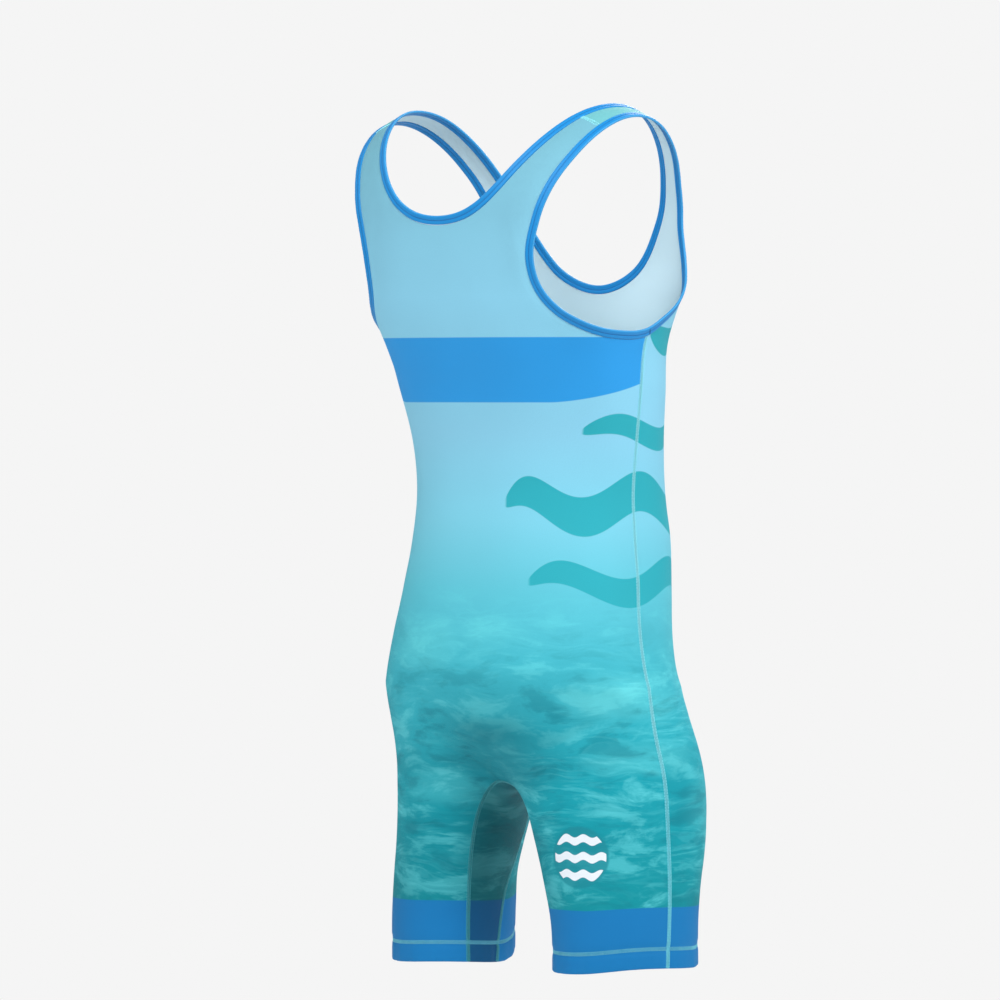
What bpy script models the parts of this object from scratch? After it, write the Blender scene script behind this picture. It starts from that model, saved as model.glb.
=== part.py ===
"""Wrestling singlet, hollow and worn: a back, a front, one inner leg gusset and three edge bindings.

The cloth lies on a general figure, which is a smooth field: below zero inside the body, zero on its
skin. Seams and finished edges are lines on that figure. Each panel is a grid between four such lines,
laid on the figure by casting rays from an axis, and then given its wall by an extrusion inwards.
Metres, +Z up. The back faces +Y, the wearer's left is +X, and the origin lies midway between the two
shoulder straps, at the height where they rest.
"""

import math
from collections import namedtuple

import bmesh
import bpy
import numpy as np
from mathutils import Matrix

# Cloth and trim
WALL = 0.0012
HEM_WALL = 0.0024
SEAM_GAP = 0.0003
BINDING_WIDTH = 0.0095
BINDING_RISE, SEAM_EDGE_RISE, FOLD_RISE = 0.0008, 0.0006, 0.0001

# Heights along the garment
HEM_HEIGHT = -0.890
HEM_FOLD_TOP = -0.868
ARMHOLE_FOOT = -0.232
SHOULDER_SEAM_Y = 0.070

# Grid of one half panel
COLUMNS = 10
ROWS_LEG, ROWS_HIP, ROWS_CHEST, ROWS_STRAP = 15, 15, 15, 24
GUSSET_COLUMNS = 5

# How finely lines are drawn, rays are followed and points are brought onto the figure
LINE_POINTS = 400
RISING_POINTS = 250
RAY_REACH, RAY_SAMPLES, RAY_HALVINGS = 0.32, 129, 26
SLOPE_STEP, STEPS_ONTO_FIGURE = 1e-5, 12
NEVER_ZERO = 1e-9
MIDDLE_MERGE = 1e-5
SHARP_ANGLE = math.radians(40)

# The general figure. Torso: half width, depth behind and before the middle plane, corner squareness.
Torso = namedtuple("Torso", "height half_width back front squareness")
TORSO = (
    Torso(-0.76, 0.172, 0.110, 0.105, 2.30),
    Torso(-0.66, 0.172, 0.113, 0.106, 2.30),
    Torso(-0.60, 0.172, 0.115, 0.104, 2.30),
    Torso(-0.55, 0.166, 0.106, 0.103, 2.30),
    Torso(-0.50, 0.158, 0.096, 0.107, 2.35),
    Torso(-0.45, 0.148, 0.090, 0.113, 2.40),
    Torso(-0.40, 0.142, 0.087, 0.109, 2.40),
    Torso(-0.35, 0.145, 0.090, 0.104, 2.40),
    Torso(-0.30, 0.152, 0.102, 0.101, 2.45),
    Torso(-0.24, 0.164, 0.121, 0.097, 2.50),
    Torso(-0.20, 0.187, 0.131, 0.098, 2.50),
    Torso(-0.16, 0.212, 0.137, 0.098, 2.50),
    Torso(-0.12, 0.228, 0.138, 0.094, 2.40),
    Torso(-0.08, 0.236, 0.138, 0.090, 2.20),
    Torso(-0.04, 0.255, 0.136, 0.088, 2.05),
    Torso(0.00, 0.275, 0.133, 0.088, 2.00),
    Torso(0.10, 0.275, 0.131, 0.088, 2.00),
)
SHOULDER_BASE, SHOULDER_RISE = -0.115, 0.131
SEAT_TOP, SEAT_DEPTH, SEAT_POWER = -0.530, 0.175, 2.4

# Thigh: middle of its section, and the half lengths of its long and short diameters.
Thigh = namedtuple("Thigh", "height across along long_half short_half")
THIGH = (
    Thigh(-0.95, 0.127, -0.008, 0.0750, 0.0645),
    Thigh(-0.90, 0.126, -0.008, 0.0750, 0.0645),
    Thigh(-0.84, 0.125, -0.008, 0.0760, 0.0650),
    Thigh(-0.80, 0.122, -0.008, 0.0810, 0.0650),
    Thigh(-0.77, 0.118, -0.010, 0.0860, 0.0670),
    Thigh(-0.74, 0.113, -0.011, 0.0905, 0.0700),
    Thigh(-0.70, 0.107, -0.010, 0.0945, 0.0735),
    Thigh(-0.66, 0.098, -0.006, 0.0960, 0.0780),
    Thigh(-0.63, 0.092, -0.003, 0.0920, 0.0810),
    Thigh(-0.60, 0.086, 0.000, 0.0860, 0.0830),
    Thigh(-0.50, 0.080, 0.000, 0.0850, 0.0850),
)
THIGH_TURN = math.radians(45)
THIGH_FADE_START, THIGH_FADE_SLOPE = -0.60, 0.375
BLEND = 0.030

# The axis that rays leave from: through the thigh below, near the spine above.
Axis = namedtuple("Axis", "height across along")
AXIS = (
    Axis(-0.95, 0.127, -0.008),
    Axis(-0.80, 0.122, -0.008),
    Axis(-0.75, 0.112, -0.008),
    Axis(-0.70, 0.075, -0.004),
    Axis(-0.66, 0.056, 0.000),
    Axis(-0.60, 0.050, 0.005),
    Axis(-0.40, 0.050, 0.000),
    Axis(-0.24, 0.060, 0.012),
    Axis(-0.165, 0.080, 0.015),
)
PIVOT = AXIS[-1]
FAN_REACH = 0.120

# Lines on the figure, on the wearer's left. Each point is near the figure, and is then drawn onto it.
Place = namedtuple("Place", "across along height")
GUSSET_BACK = (
    Place(0.063, 0.032, -0.890),
    Place(0.061, 0.034, -0.832),
    Place(0.055, 0.038, -0.798),
    Place(0.048, 0.041, -0.765),
    Place(0.040, 0.042, -0.737),
    Place(0.030, 0.042, -0.718),
    Place(0.016, 0.044, -0.705),
    Place(0.000, 0.047, -0.700),
)
GUSSET_FRONT = (
    Place(0.056, -0.004, -0.890),
    Place(0.056, -0.008, -0.850),
    Place(0.055, -0.014, -0.816),
    Place(0.054, -0.030, -0.784),
    Place(0.049, -0.042, -0.758),
    Place(0.040, -0.050, -0.735),
    Place(0.028, -0.054, -0.717),
    Place(0.014, -0.056, -0.705),
    Place(0.000, -0.057, -0.700),
)
NECK_EDGE = (
    Place(0.000, 0.138, -0.117),
    Place(0.040, 0.137, -0.110),
    Place(0.060, 0.135, -0.099),
    Place(0.076, 0.131, -0.085),
    Place(0.094, 0.121, -0.064),
    Place(0.109, 0.104, -0.045),
    Place(0.130, 0.069, -0.017),
    Place(0.143, 0.030, -0.002),
    Place(0.143, -0.016, -0.003),
    Place(0.134, -0.054, -0.028),
    Place(0.116, -0.075, -0.072),
    Place(0.090, -0.086, -0.125),
    Place(0.051, -0.096, -0.170),
    Place(0.000, -0.098, -0.186),
)
ARMHOLE_EDGE = (
    Place(0.169, -0.001, -0.232),
    Place(0.163, 0.040, -0.234),
    Place(0.151, 0.078, -0.225),
    Place(0.137, 0.102, -0.210),
    Place(0.127, 0.117, -0.190),
    Place(0.124, 0.125, -0.162),
    Place(0.132, 0.124, -0.125),
    Place(0.144, 0.113, -0.090),
    Place(0.158, 0.094, -0.060),
    Place(0.169, 0.065, -0.034),
    Place(0.177, 0.025, -0.016),
    Place(0.176, -0.015, -0.022),
    Place(0.162, -0.047, -0.055),
    Place(0.146, -0.067, -0.095),
    Place(0.139, -0.073, -0.130),
    Place(0.143, -0.066, -0.163),
    Place(0.155, -0.043, -0.191),
    Place(0.166, -0.020, -0.216),
    Place(0.169, -0.001, -0.232),
)

# Rows of a panel: how far their ends dip or rise from level, and how slowly they climb past the armhole.
Rows = namedtuple("Rows", "panel curve lag")
BACK_ROWS = Rows("back", 3.0, 1.15)
FRONT_ROWS = Rows("front", 2.1, 0.80)
LEVEL_AT_ARCH, LEVEL_AT_WAIST, LEVEL_AT_ARMHOLE = -0.645, -0.440, -0.290
SIDE_AT_ARCH, MIDDLE_AT_WAIST, SIDE_AT_WAIST = -0.655, -0.420, -0.430
FOLD_STEP = 0.0005

# The side seam: how far behind the middle plane it runs.
SideSeam = namedtuple("SideSeam", "height along")
SIDE_SEAM = (
    SideSeam(-0.890, -0.001),
    SideSeam(-0.770, -0.005),
    SideSeam(-0.690, -0.003),
    SideSeam(-0.630, 0.006),
    SideSeam(-0.545, 0.011),
    SideSeam(-0.475, 0.002),
    SideSeam(-0.350, -0.005),
    SideSeam(-0.240, -0.001),
)

# How a line goes on past its two ends.
OPEN, ROUND, ACROSS = ("open", "open"), ("closed", "closed"), ("mirrored", "mirrored")
UP_TO_MIDDLE, FROM_MIDDLE = ("open", "mirrored"), ("mirrored", "open")

# Section of a binding: how far across it from its seam to the opening, and how far off the figure.
Corner = namedtuple("Corner", "across rise")
BINDING_SECTION = (
    Corner(0.00, SEAM_EDGE_RISE),
    Corner(0.12, BINDING_RISE),
    Corner(0.86, BINDING_RISE),
    Corner(1.00, FOLD_RISE),
    Corner(1.00, -WALL - FOLD_RISE),
    Corner(0.86, -WALL - BINDING_RISE),
    Corner(0.12, -WALL - BINDING_RISE),
    Corner(0.00, -WALL - SEAM_EDGE_RISE),
)

# Colours: base colour, roughness
Finish = namedtuple("Finish", "colour roughness")
SKY_PRINT = Finish((0.24, 0.60, 0.78), 0.62)
LAGOON_PRINT = Finish((0.06, 0.42, 0.50), 0.62)
BLUE_TAPE = Finish((0.02, 0.27, 0.62), 0.55)


def clear_scene():
    for thing in list(bpy.data.objects):
        bpy.data.objects.remove(thing, do_unlink=True)


def fabric(name, finish):
    material = bpy.data.materials.new(name)
    material.use_nodes = True
    shader = material.node_tree.nodes["Principled BSDF"]
    shader.inputs["Base Color"].default_value = (*finish.colour, 1.0)
    shader.inputs["Roughness"].default_value = finish.roughness
    shader.inputs["Metallic"].default_value = 0.0
    return material


# The figure


def smooth_column(table, name, heights):
    """A column of a table at any heights, on a curve with no kink at the rows."""
    rows = sorted(table)
    known = np.array([row.height for row in rows])
    values = np.array([getattr(row, name) for row in rows])
    slopes = np.gradient(values, known)
    heights = np.clip(heights, known[0], known[-1])
    low = np.clip(np.searchsorted(known, heights) - 1, 0, len(known) - 2)
    span = known[low + 1] - known[low]
    s = (heights - known[low]) / span
    return (
        (1 + 2 * s) * (1 - s) ** 2 * values[low]
        + s * (1 - s) ** 2 * span * slopes[low]
        + s * s * (3 - 2 * s) * values[low + 1]
        + s * s * (s - 1) * span * slopes[low + 1]
    )


def softer_minimum(first, second):
    overlap = np.maximum(BLEND - np.abs(first - second), 0) / BLEND
    return np.minimum(first, second) - overlap * overlap * BLEND / 4


def torso_field(points):
    x, y, z = np.abs(points[..., 0]), points[..., 1], points[..., 2]
    back = smooth_column(TORSO, "back", z)
    front = smooth_column(TORSO, "front", z)
    power = smooth_column(TORSO, "squareness", z)
    middle, depth = (back - front) / 2, (back + front) / 2
    shoulder = np.maximum(0, (z - SHOULDER_BASE) / SHOULDER_RISE) ** 2
    seat = np.maximum(0, (SEAT_TOP - z) / SEAT_DEPTH) ** SEAT_POWER
    across = (x / smooth_column(TORSO, "half_width", z)) ** power
    along = (np.abs(y - middle) / depth) ** power
    total = np.maximum(across + along + shoulder + seat, NEVER_ZERO)
    return (total ** (1 / power) - 1) * depth


def thigh_field(points, side):
    x, y, z = side * points[..., 0], points[..., 1], points[..., 2]
    across = x - smooth_column(THIGH, "across", z)
    along = y - smooth_column(THIGH, "along", z)
    forward = across * math.cos(THIGH_TURN) - along * math.sin(THIGH_TURN)
    sideways = across * math.sin(THIGH_TURN) + along * math.cos(THIGH_TURN)
    long_half = smooth_column(THIGH, "long_half", z)
    short_half = smooth_column(THIGH, "short_half", z)
    distance = (np.hypot(forward / long_half, sideways / short_half) - 1) * short_half
    return distance + THIGH_FADE_SLOPE * np.maximum(0, z - THIGH_FADE_START)


def figure(points):
    thighs = softer_minimum(thigh_field(points, 1), thigh_field(points, -1))
    return softer_minimum(torso_field(points), thighs)


def slope_of_figure(points):
    columns = []
    for shift in np.eye(3) * SLOPE_STEP:
        columns.append((figure(points + shift) - figure(points - shift)) / (2 * SLOPE_STEP))
    return np.stack(columns, axis=-1)


def outward(points):
    slope = slope_of_figure(points)
    return slope / np.linalg.norm(slope, axis=-1, keepdims=True)


def onto_figure(points):
    for _ in range(STEPS_ONTO_FIGURE):
        slope = slope_of_figure(points)
        points = points - slope * (figure(points) / (slope * slope).sum(axis=-1))[..., None]
    return points


def cast(origins, directions):
    """Where rays from inside the figure first come out of it."""
    reach = np.linspace(0, RAY_REACH, RAY_SAMPLES)
    samples = origins[:, None] + reach[:, None] * directions[:, None]
    out = np.argmax(figure(samples) > 0, axis=1)
    low, high = reach[out - 1], reach[out]
    for _ in range(RAY_HALVINGS):
        middle = (low + high) / 2
        outside = figure(origins + middle[:, None] * directions) > 0
        high = np.where(outside, middle, high)
        low = np.where(outside, low, middle)
    return origins + high[:, None] * directions


# Rays: a level and an angle name one point of the back (side 1) or the front (side -1)


def axis_at(levels):
    heights = np.minimum(levels, PIVOT.height)
    across, along = (smooth_column(AXIS, name, heights) for name in ("across", "along"))
    return np.stack([across, along, heights], axis=-1)


def points_at(side, levels, angles):
    tilt = np.maximum(0, levels - PIVOT.height) / FAN_REACH
    directions = np.stack(
        [np.sin(angles), side * np.cos(angles) * np.cos(tilt), np.cos(angles) * np.sin(tilt)],
        axis=-1,
    )
    return cast(axis_at(levels), directions)


def rays_through(side, points):
    """The levels and angles whose rays pass through these points."""
    off = points - axis_at(points[:, 2])
    reach = side * off[:, 1]
    tilt = np.where(points[:, 2] > PIVOT.height, np.arctan2(off[:, 2], reach), 0)
    levels = np.minimum(points[:, 2], PIVOT.height) + FAN_REACH * tilt
    angles = np.arctan2(off[:, 0], np.where(tilt > 0, np.hypot(reach, off[:, 2]), reach))
    return levels, angles


# Lines on the figure


def lengths_along(points):
    """The length of a line of points from its start to each of them."""
    return np.concatenate([[0], np.cumsum(np.linalg.norm(np.diff(points, axis=0), axis=1))])


def evenly(points, count, start=0.0, end=None):
    """Points evenly spaced along a dense line, from one length along it to another."""
    lengths = lengths_along(points)
    wanted = np.linspace(start, lengths[-1] if end is None else end, count)
    return np.stack([np.interp(wanted, lengths, column) for column in points.T], axis=1)


def with_ends(points, ends):
    """The points with one more at each end, which says how the line goes on from there."""
    more = {
        "open": (2 * points[0] - points[1], 2 * points[-1] - points[-2]),
        "mirrored": (points[1] * (-1, 1, 1), points[-2] * (-1, 1, 1)),
        "closed": (points[-2], points[1]),
    }
    return np.concatenate([[more[ends[0]][0]], points, [more[ends[1]][1]]])


def line_through(places, ends):
    """A dense smooth line through places near the figure, drawn onto it."""
    knots = with_ends(np.array(places, dtype=float), ends)
    chords = lengths_along(knots)
    slopes = np.gradient(knots, chords, axis=0)
    wanted = np.linspace(chords[1], chords[-2], LINE_POINTS)
    low = np.clip(np.searchsorted(chords, wanted) - 1, 0, len(chords) - 2)
    span = (chords[low + 1] - chords[low])[:, None]
    s = (wanted - chords[low])[:, None] / span
    line = (
        (1 + 2 * s) * (1 - s) ** 2 * knots[low]
        + s * (1 - s) ** 2 * span * slopes[low]
        + s * s * (3 - 2 * s) * knots[low + 1]
        + s * s * (s - 1) * span * slopes[low + 1]
    )
    return onto_figure(line)


def beside(line, distance, ends):
    """The line moved sideways on the figure, to its left as seen from outside when looking along it."""
    padded = with_ends(line, ends)
    along = padded[2:] - padded[:-2]
    along /= np.linalg.norm(along, axis=1, keepdims=True)
    moved = onto_figure(line + distance * np.cross(outward(line), along))
    middle = [end == "mirrored" for end in ends]
    moved[[0, -1], 0] = np.where(middle, 0.0, moved[[0, -1], 0])
    return moved


def centre_line(side, low, high):
    """The dense line at the middle of the back or the front, from one height to another."""
    heights = np.linspace(low, high, LINE_POINTS)
    nothing = np.zeros_like(heights)
    origins = np.stack([nothing, nothing, heights], axis=1)
    return cast(origins, np.broadcast_to([0.0, side, 0.0], origins.shape))


def side_line(heights):
    across = smooth_column(AXIS, "across", heights)
    origins = np.stack([across, smooth_column(SIDE_SEAM, "along", heights), heights], axis=1)
    return cast(origins, np.broadcast_to([1.0, 0.0, 0.0], origins.shape))


def length_at_shoulder_seam(line):
    """How far along a neck or armhole line it crosses the shoulder seam, on its way from back to front."""
    lengths = lengths_along(line)
    furthest_back = int(line[:, 1].argmax())
    crossing = furthest_back + int(np.argmax(line[furthest_back:, 1] < SHOULDER_SEAM_Y))
    return lengths[crossing]


# Seams that two pieces share


def arch_stations(line):
    """Points up a gusset seam: hem, the hem's fold, then evenly to the top of the arch."""
    hem = line[np.abs(line[:, 2] - HEM_HEIGHT).argmin()]
    rising = line[:RISING_POINTS]
    fold = [np.interp(HEM_FOLD_TOP, rising[:, 2], column) for column in rising.T]
    start = float(np.interp(HEM_FOLD_TOP + FOLD_STEP, rising[:, 2], lengths_along(rising)))
    rest = evenly(line, ROWS_LEG - 1, start)
    return np.concatenate([[hem, fold], rest])


def side_heights():
    leg = np.linspace(HEM_FOLD_TOP + FOLD_STEP, SIDE_AT_ARCH, ROWS_LEG - 1)
    hip = np.linspace(SIDE_AT_ARCH, SIDE_AT_WAIST, ROWS_HIP + 1)[1:]
    chest = np.linspace(SIDE_AT_WAIST, ARMHOLE_FOOT - BINDING_WIDTH, ROWS_CHEST + 1)[1:]
    return np.concatenate([[HEM_HEIGHT, HEM_FOLD_TOP], leg, hip, chest])


def all_seams():
    """Every seam line, as stations in the order of the panels' rows."""
    neck = beside(line_through(NECK_EDGE, ACROSS), BINDING_WIDTH, ACROSS)
    armhole = beside(line_through(ARMHOLE_EDGE, ROUND), -BINDING_WIDTH, ROUND)
    neck_turn, armhole_turn = length_at_shoulder_seam(neck), length_at_shoulder_seam(armhole)
    half, strap = SEAM_GAP / 2, ROWS_STRAP + 1
    seams = {"side": side_line(side_heights())}
    seams["neck_back"] = evenly(neck, strap, 0.0, neck_turn - half)
    seams["neck_front"] = evenly(neck, strap, neck_turn + half)[::-1]
    seams["armhole_back"] = evenly(armhole, strap, 0.0, armhole_turn - half)
    seams["armhole_front"] = evenly(armhole, strap, armhole_turn + half)[::-1]
    for name, places in (("gusset_back", GUSSET_BACK), ("gusset_front", GUSSET_FRONT)):
        seams[name] = arch_stations(line_through(places, UP_TO_MIDDLE))
    return seams


# Panels


def row_levels(plan, inner_levels, outer_levels, fractions):
    """The level of each grid point: rows leave the arch upwards and reach the armhole from below."""
    keys = np.cumsum([0, 1, ROWS_LEG - 1, ROWS_HIP, ROWS_CHEST, ROWS_STRAP])
    top = (inner_levels[-1] + outer_levels[-1]) / 2
    levels = (HEM_HEIGHT, HEM_FOLD_TOP, LEVEL_AT_ARCH, LEVEL_AT_WAIST, LEVEL_AT_ARMHOLE, top)
    rows = np.arange(keys[-1] + 1.0)
    up_strap = np.maximum(0, rows - keys[-2]) / ROWS_STRAP
    rows = np.minimum(rows, keys[-2]) + ROWS_STRAP * up_strap**plan.lag
    middle = np.interp(rows, keys, levels)[:, None]
    from_inner = (inner_levels[:, None] - middle) * (1 - fractions) ** plan.curve
    from_outer = (outer_levels[:, None] - middle) * fractions**plan.curve
    return middle + from_inner + from_outer


def half_panel(side, seams):
    """Grid of points for the left half of the back (side 1) or the front (side -1)."""
    plan = BACK_ROWS if side > 0 else FRONT_ROWS
    gap = side * SEAM_GAP / 2
    arch = beside(seams["gusset_" + plan.panel], gap, UP_TO_MIDDLE)
    neck = beside(seams["neck_" + plan.panel], gap, FROM_MIDDLE)
    hip = evenly(centre_line(side, arch[-1][2], MIDDLE_AT_WAIST), ROWS_HIP + 1)[1:]
    chest = evenly(centre_line(side, MIDDLE_AT_WAIST, neck[0][2]), ROWS_CHEST + 1)[1:-1]
    inner = np.concatenate([arch, hip, chest, neck])
    outer = np.concatenate([seams["side"][:-1], seams["armhole_" + plan.panel]])
    outer = beside(outer, -gap, OPEN)
    inner_levels, inner_angles = rays_through(side, inner)
    outer_levels, outer_angles = rays_through(side, outer)
    fractions = np.linspace(0, 1, COLUMNS + 1)[None, :]
    levels = row_levels(plan, inner_levels, outer_levels, fractions)
    angles = inner_angles[:, None] * (1 - fractions) + outer_angles[:, None] * fractions
    laid = points_at(side, levels.ravel(), angles.ravel()).reshape(*levels.shape, 3)
    laid[:, 0], laid[:, -1] = inner, outer
    return laid


def sheet_of(grid):
    """A bmesh sheet whose vertices are a grid of points."""
    rows, columns = grid.shape[:2]
    bm = bmesh.new()
    bmesh.ops.create_grid(bm, x_segments=columns - 1, y_segments=rows - 1, size=0.5)
    for vertex in bm.verts:
        column = round((vertex.co.x + 0.5) * (columns - 1))
        row = round((vertex.co.y + 0.5) * (rows - 1))
        vertex.co = grid[row, column]
    return bm


def give_wall(bm):
    """Extrudes a sheet inwards, square to the figure; the turned-up hem is two layers thick."""
    grown = bmesh.ops.extrude_face_region(bm, geom=bm.faces[:], use_keep_orig=True)
    inner = [item for item in grown["geom"] if isinstance(item, bmesh.types.BMVert)]
    places = np.array([vertex.co for vertex in inner])
    thickness = np.where(places[:, 2] < HEM_FOLD_TOP + FOLD_STEP / 2, HEM_WALL, WALL)
    for vertex, place in zip(inner, places - outward(places) * thickness[:, None]):
        vertex.co = place
    bmesh.ops.recalc_face_normals(bm, faces=bm.faces[:])


def finish(bm, name, material):
    mesh = bpy.data.meshes.new(name)
    bm.to_mesh(mesh)
    bm.free()
    mesh.shade_smooth()
    mesh.set_sharp_from_angle(angle=SHARP_ANGLE)
    mesh.materials.append(material)
    piece = bpy.data.objects.new(name, mesh)
    bpy.context.scene.collection.objects.link(piece)
    return piece


def panel(side, seams, name, material):
    """The left half as a sheet, mirrored to the right and welded along the middle."""
    bm = sheet_of(half_panel(side, seams))
    left_half = bm.verts[:] + bm.edges[:] + bm.faces[:]
    bmesh.ops.mirror(bm, geom=left_half, matrix=Matrix(), merge_dist=MIDDLE_MERGE, axis="X")
    give_wall(bm)
    return finish(bm, name, material)


def gusset(seams, name, material):
    """One strip, up the inside of one leg, over the crotch and down the inside of the other."""
    gap = SEAM_GAP / 2
    back = beside(seams["gusset_back"], -gap, UP_TO_MIDDLE)
    front = beside(seams["gusset_front"], gap, UP_TO_MIDDLE)
    fractions = np.linspace(0, 1, GUSSET_COLUMNS + 1)[None, :, None]
    grid = onto_figure(back[:, None] * (1 - fractions) + front[:, None] * fractions)
    grid[:, 0], grid[:, -1] = back, front
    other_leg = grid[-2::-1] * (-1, 1, 1)
    bm = sheet_of(np.concatenate([grid, other_leg]))
    give_wall(bm)
    return finish(bm, name, material)


def ring(seam_line, to_opening, name, material):
    """A closed band from its seam to the opening, folded over the edge of the cloth."""
    previous, following = np.roll(seam_line, 1, axis=0), np.roll(seam_line, -1, axis=0)
    along = following - previous
    along /= np.linalg.norm(along, axis=1, keepdims=True)
    sideways = to_opening * np.cross(outward(seam_line), along)
    bm = bmesh.new()
    loops = []
    for corner in BINDING_SECTION:
        distance = SEAM_GAP / 2 + corner.across * (BINDING_WIDTH - SEAM_GAP / 2)
        places = onto_figure(seam_line + sideways * distance)
        places = places + outward(places) * corner.rise
        loops.append([bm.verts.new(place) for place in places])
    count = len(seam_line)
    for loop, following_loop in zip(loops, loops[1:] + loops[:1]):
        for here in range(count):
            there = (here + 1) % count
            bm.faces.new((loop[here], loop[there], following_loop[there], following_loop[here]))
    bmesh.ops.recalc_face_normals(bm, faces=bm.faces[:])
    return finish(bm, name, material)


def neck_line(seams):
    half = np.concatenate([seams["neck_back"], seams["neck_front"][-2::-1]])
    other = half[-2:0:-1] * (-1, 1, 1)
    return np.concatenate([half, other])


def armhole_line(seams, side):
    line = np.concatenate([seams["armhole_back"], seams["armhole_front"][-2:0:-1]])
    return line * (side, 1, 1)


def main():
    clear_scene()
    sky, lagoon = fabric("sky_print", SKY_PRINT), fabric("lagoon_print", LAGOON_PRINT)
    tape = fabric("blue_tape", BLUE_TAPE)
    seams = all_seams()
    panel(1, seams, "back_panel", sky)
    panel(-1, seams, "front_panel", sky)
    gusset(seams, "inner_leg_gusset", lagoon)
    ring(neck_line(seams), -1, "neck_binding", tape)
    ring(armhole_line(seams, 1), 1, "armhole_binding_left", tape)
    ring(armhole_line(seams, -1), -1, "armhole_binding_right", tape)


main()
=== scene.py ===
# %% [markdown]
# # A wrestling singlet, printed and sewn
# The garment is one tight skin of stretch knit: a back, a front, a gusset between the legs and tape round
# each opening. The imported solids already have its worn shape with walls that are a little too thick. This
# lesson lays finer cloth on the same figure, prints it, and sews it together with real threads.

# %% The frame
import math
from collections import namedtuple

import bmesh
import bpy
import numpy as np
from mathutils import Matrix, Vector
from mathutils.kdtree import KDTree


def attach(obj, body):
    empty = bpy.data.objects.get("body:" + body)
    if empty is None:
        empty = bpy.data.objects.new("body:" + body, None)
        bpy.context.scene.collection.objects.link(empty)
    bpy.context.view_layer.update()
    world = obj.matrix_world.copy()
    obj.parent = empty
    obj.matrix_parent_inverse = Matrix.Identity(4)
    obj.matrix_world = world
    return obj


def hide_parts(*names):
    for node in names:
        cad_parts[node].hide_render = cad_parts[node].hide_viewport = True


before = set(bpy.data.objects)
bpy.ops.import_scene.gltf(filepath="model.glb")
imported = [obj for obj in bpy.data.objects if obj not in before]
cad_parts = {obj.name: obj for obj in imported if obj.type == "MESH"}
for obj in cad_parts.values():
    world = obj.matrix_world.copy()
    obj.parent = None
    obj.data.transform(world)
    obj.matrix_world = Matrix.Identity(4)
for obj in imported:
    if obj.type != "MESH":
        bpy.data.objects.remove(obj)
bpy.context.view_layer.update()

print("nodes:", ", ".join(sorted(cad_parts)))

# %% [markdown]
# ## The camera first
# A far camera with a long lens shows both shoulders and both hems with almost no perspective. It stands
# behind the wearer, to the right, a little above the waist, and looks slightly down.

# %% Camera
CAMERA_DISTANCE, CAMERA_HEIGHT = 8.0, -0.2974
CAMERA_TURN = math.radians(225)
AIM = (0.0242, 0.0242, -0.4093)
LENS, SENSOR, FAR_CLIP = 277.9, 36.0, 60.0

scene = bpy.context.scene


def add_object(name, data):
    """Puts a new object of some data into the scene."""
    added = bpy.data.objects.new(name, data)
    scene.collection.objects.link(added)
    return added


def look_at(seer, target):
    """Turns a camera or a lamp towards a point."""
    seer.rotation_euler = (Vector(target) - seer.location).to_track_quat("-Z", "Y").to_euler()


camera = add_object("camera", bpy.data.cameras.new("camera"))
camera.data.lens, camera.data.sensor_width, camera.data.clip_end = LENS, SENSOR, FAR_CLIP
camera.location = (
    CAMERA_DISTANCE * math.sin(CAMERA_TURN),
    -CAMERA_DISTANCE * math.cos(CAMERA_TURN),
    CAMERA_HEIGHT,
)
look_at(camera, AIM)
scene.camera = camera
scene.view_settings.view_transform = "Standard"
print("camera at", [round(value, 3) for value in camera.location])

# %% [markdown]
# ## Soft light and a pale floor
# Hard light would break the print up, so four large soft lamps stand round the garment: the strongest on the
# camera's right, one on its left, one at the wearer's right side and one in front of the wearer. The pale
# surroundings fill the rest. The camera sees them brighter than they shine, which gives a clean backdrop.

# %% Studio
STUDIO_GREY = (0.913, 0.913, 0.913, 1.0)
SURROUND_LIGHT = 0.20
FLOOR_HEIGHT, FLOOR_SIZE = -1.45, 8.0
Lamp = namedtuple("Lamp", "name place target size power")
LAMPS = (
    Lamp("key_lamp", (-2.7, 1.1, 2.3), (0.0, 0.0, -0.40), 1.8, 125.0),
    Lamp("fill_lamp", (0.9, 3.4, 2.1), (0.0, 0.0, -0.40), 2.0, 108.0),
    Lamp("side_lamp", (-2.8, -2.2, 0.9), (0.0, 0.0, -0.45), 1.6, 46.0),
    Lamp("front_lamp", (1.7, -3.3, 1.6), (0.0, 0.0, -0.40), 2.0, 95.0),
)

world = bpy.data.worlds.new("studio")
world.use_nodes = True
scene.world = world
background = world.node_tree.nodes["Background"]
seen = world.node_tree.nodes.new("ShaderNodeLightPath")
strength = world.node_tree.nodes.new("ShaderNodeMapRange")
strength.inputs["To Min"].default_value = SURROUND_LIGHT
strength.inputs["To Max"].default_value = 1.0
background.inputs["Color"].default_value = STUDIO_GREY
world.node_tree.links.new(seen.outputs["Is Camera Ray"], strength.inputs["Value"])
world.node_tree.links.new(strength.outputs["Result"], background.inputs["Strength"])

for row in LAMPS:
    lamp = add_object(row.name, bpy.data.lights.new(row.name, "AREA"))
    lamp.data.size, lamp.data.energy = row.size, row.power
    lamp.location = row.place
    look_at(lamp, row.target)


def mesh_of(bm, name, *materials):
    """A new mesh with the shape of a bmesh, which is freed, and its materials."""
    mesh = bpy.data.meshes.new(name)
    bm.to_mesh(mesh)
    bm.free()
    for material in materials:
        mesh.materials.append(material)
    return mesh


bm = bmesh.new()
bmesh.ops.create_grid(bm, x_segments=1, y_segments=1, size=FLOOR_SIZE / 2)
bmesh.ops.translate(bm, verts=bm.verts, vec=(0, 0, FLOOR_HEIGHT))
floor = add_object("floor", mesh_of(bm, "floor"))
print(len(LAMPS), "lamps")

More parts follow.
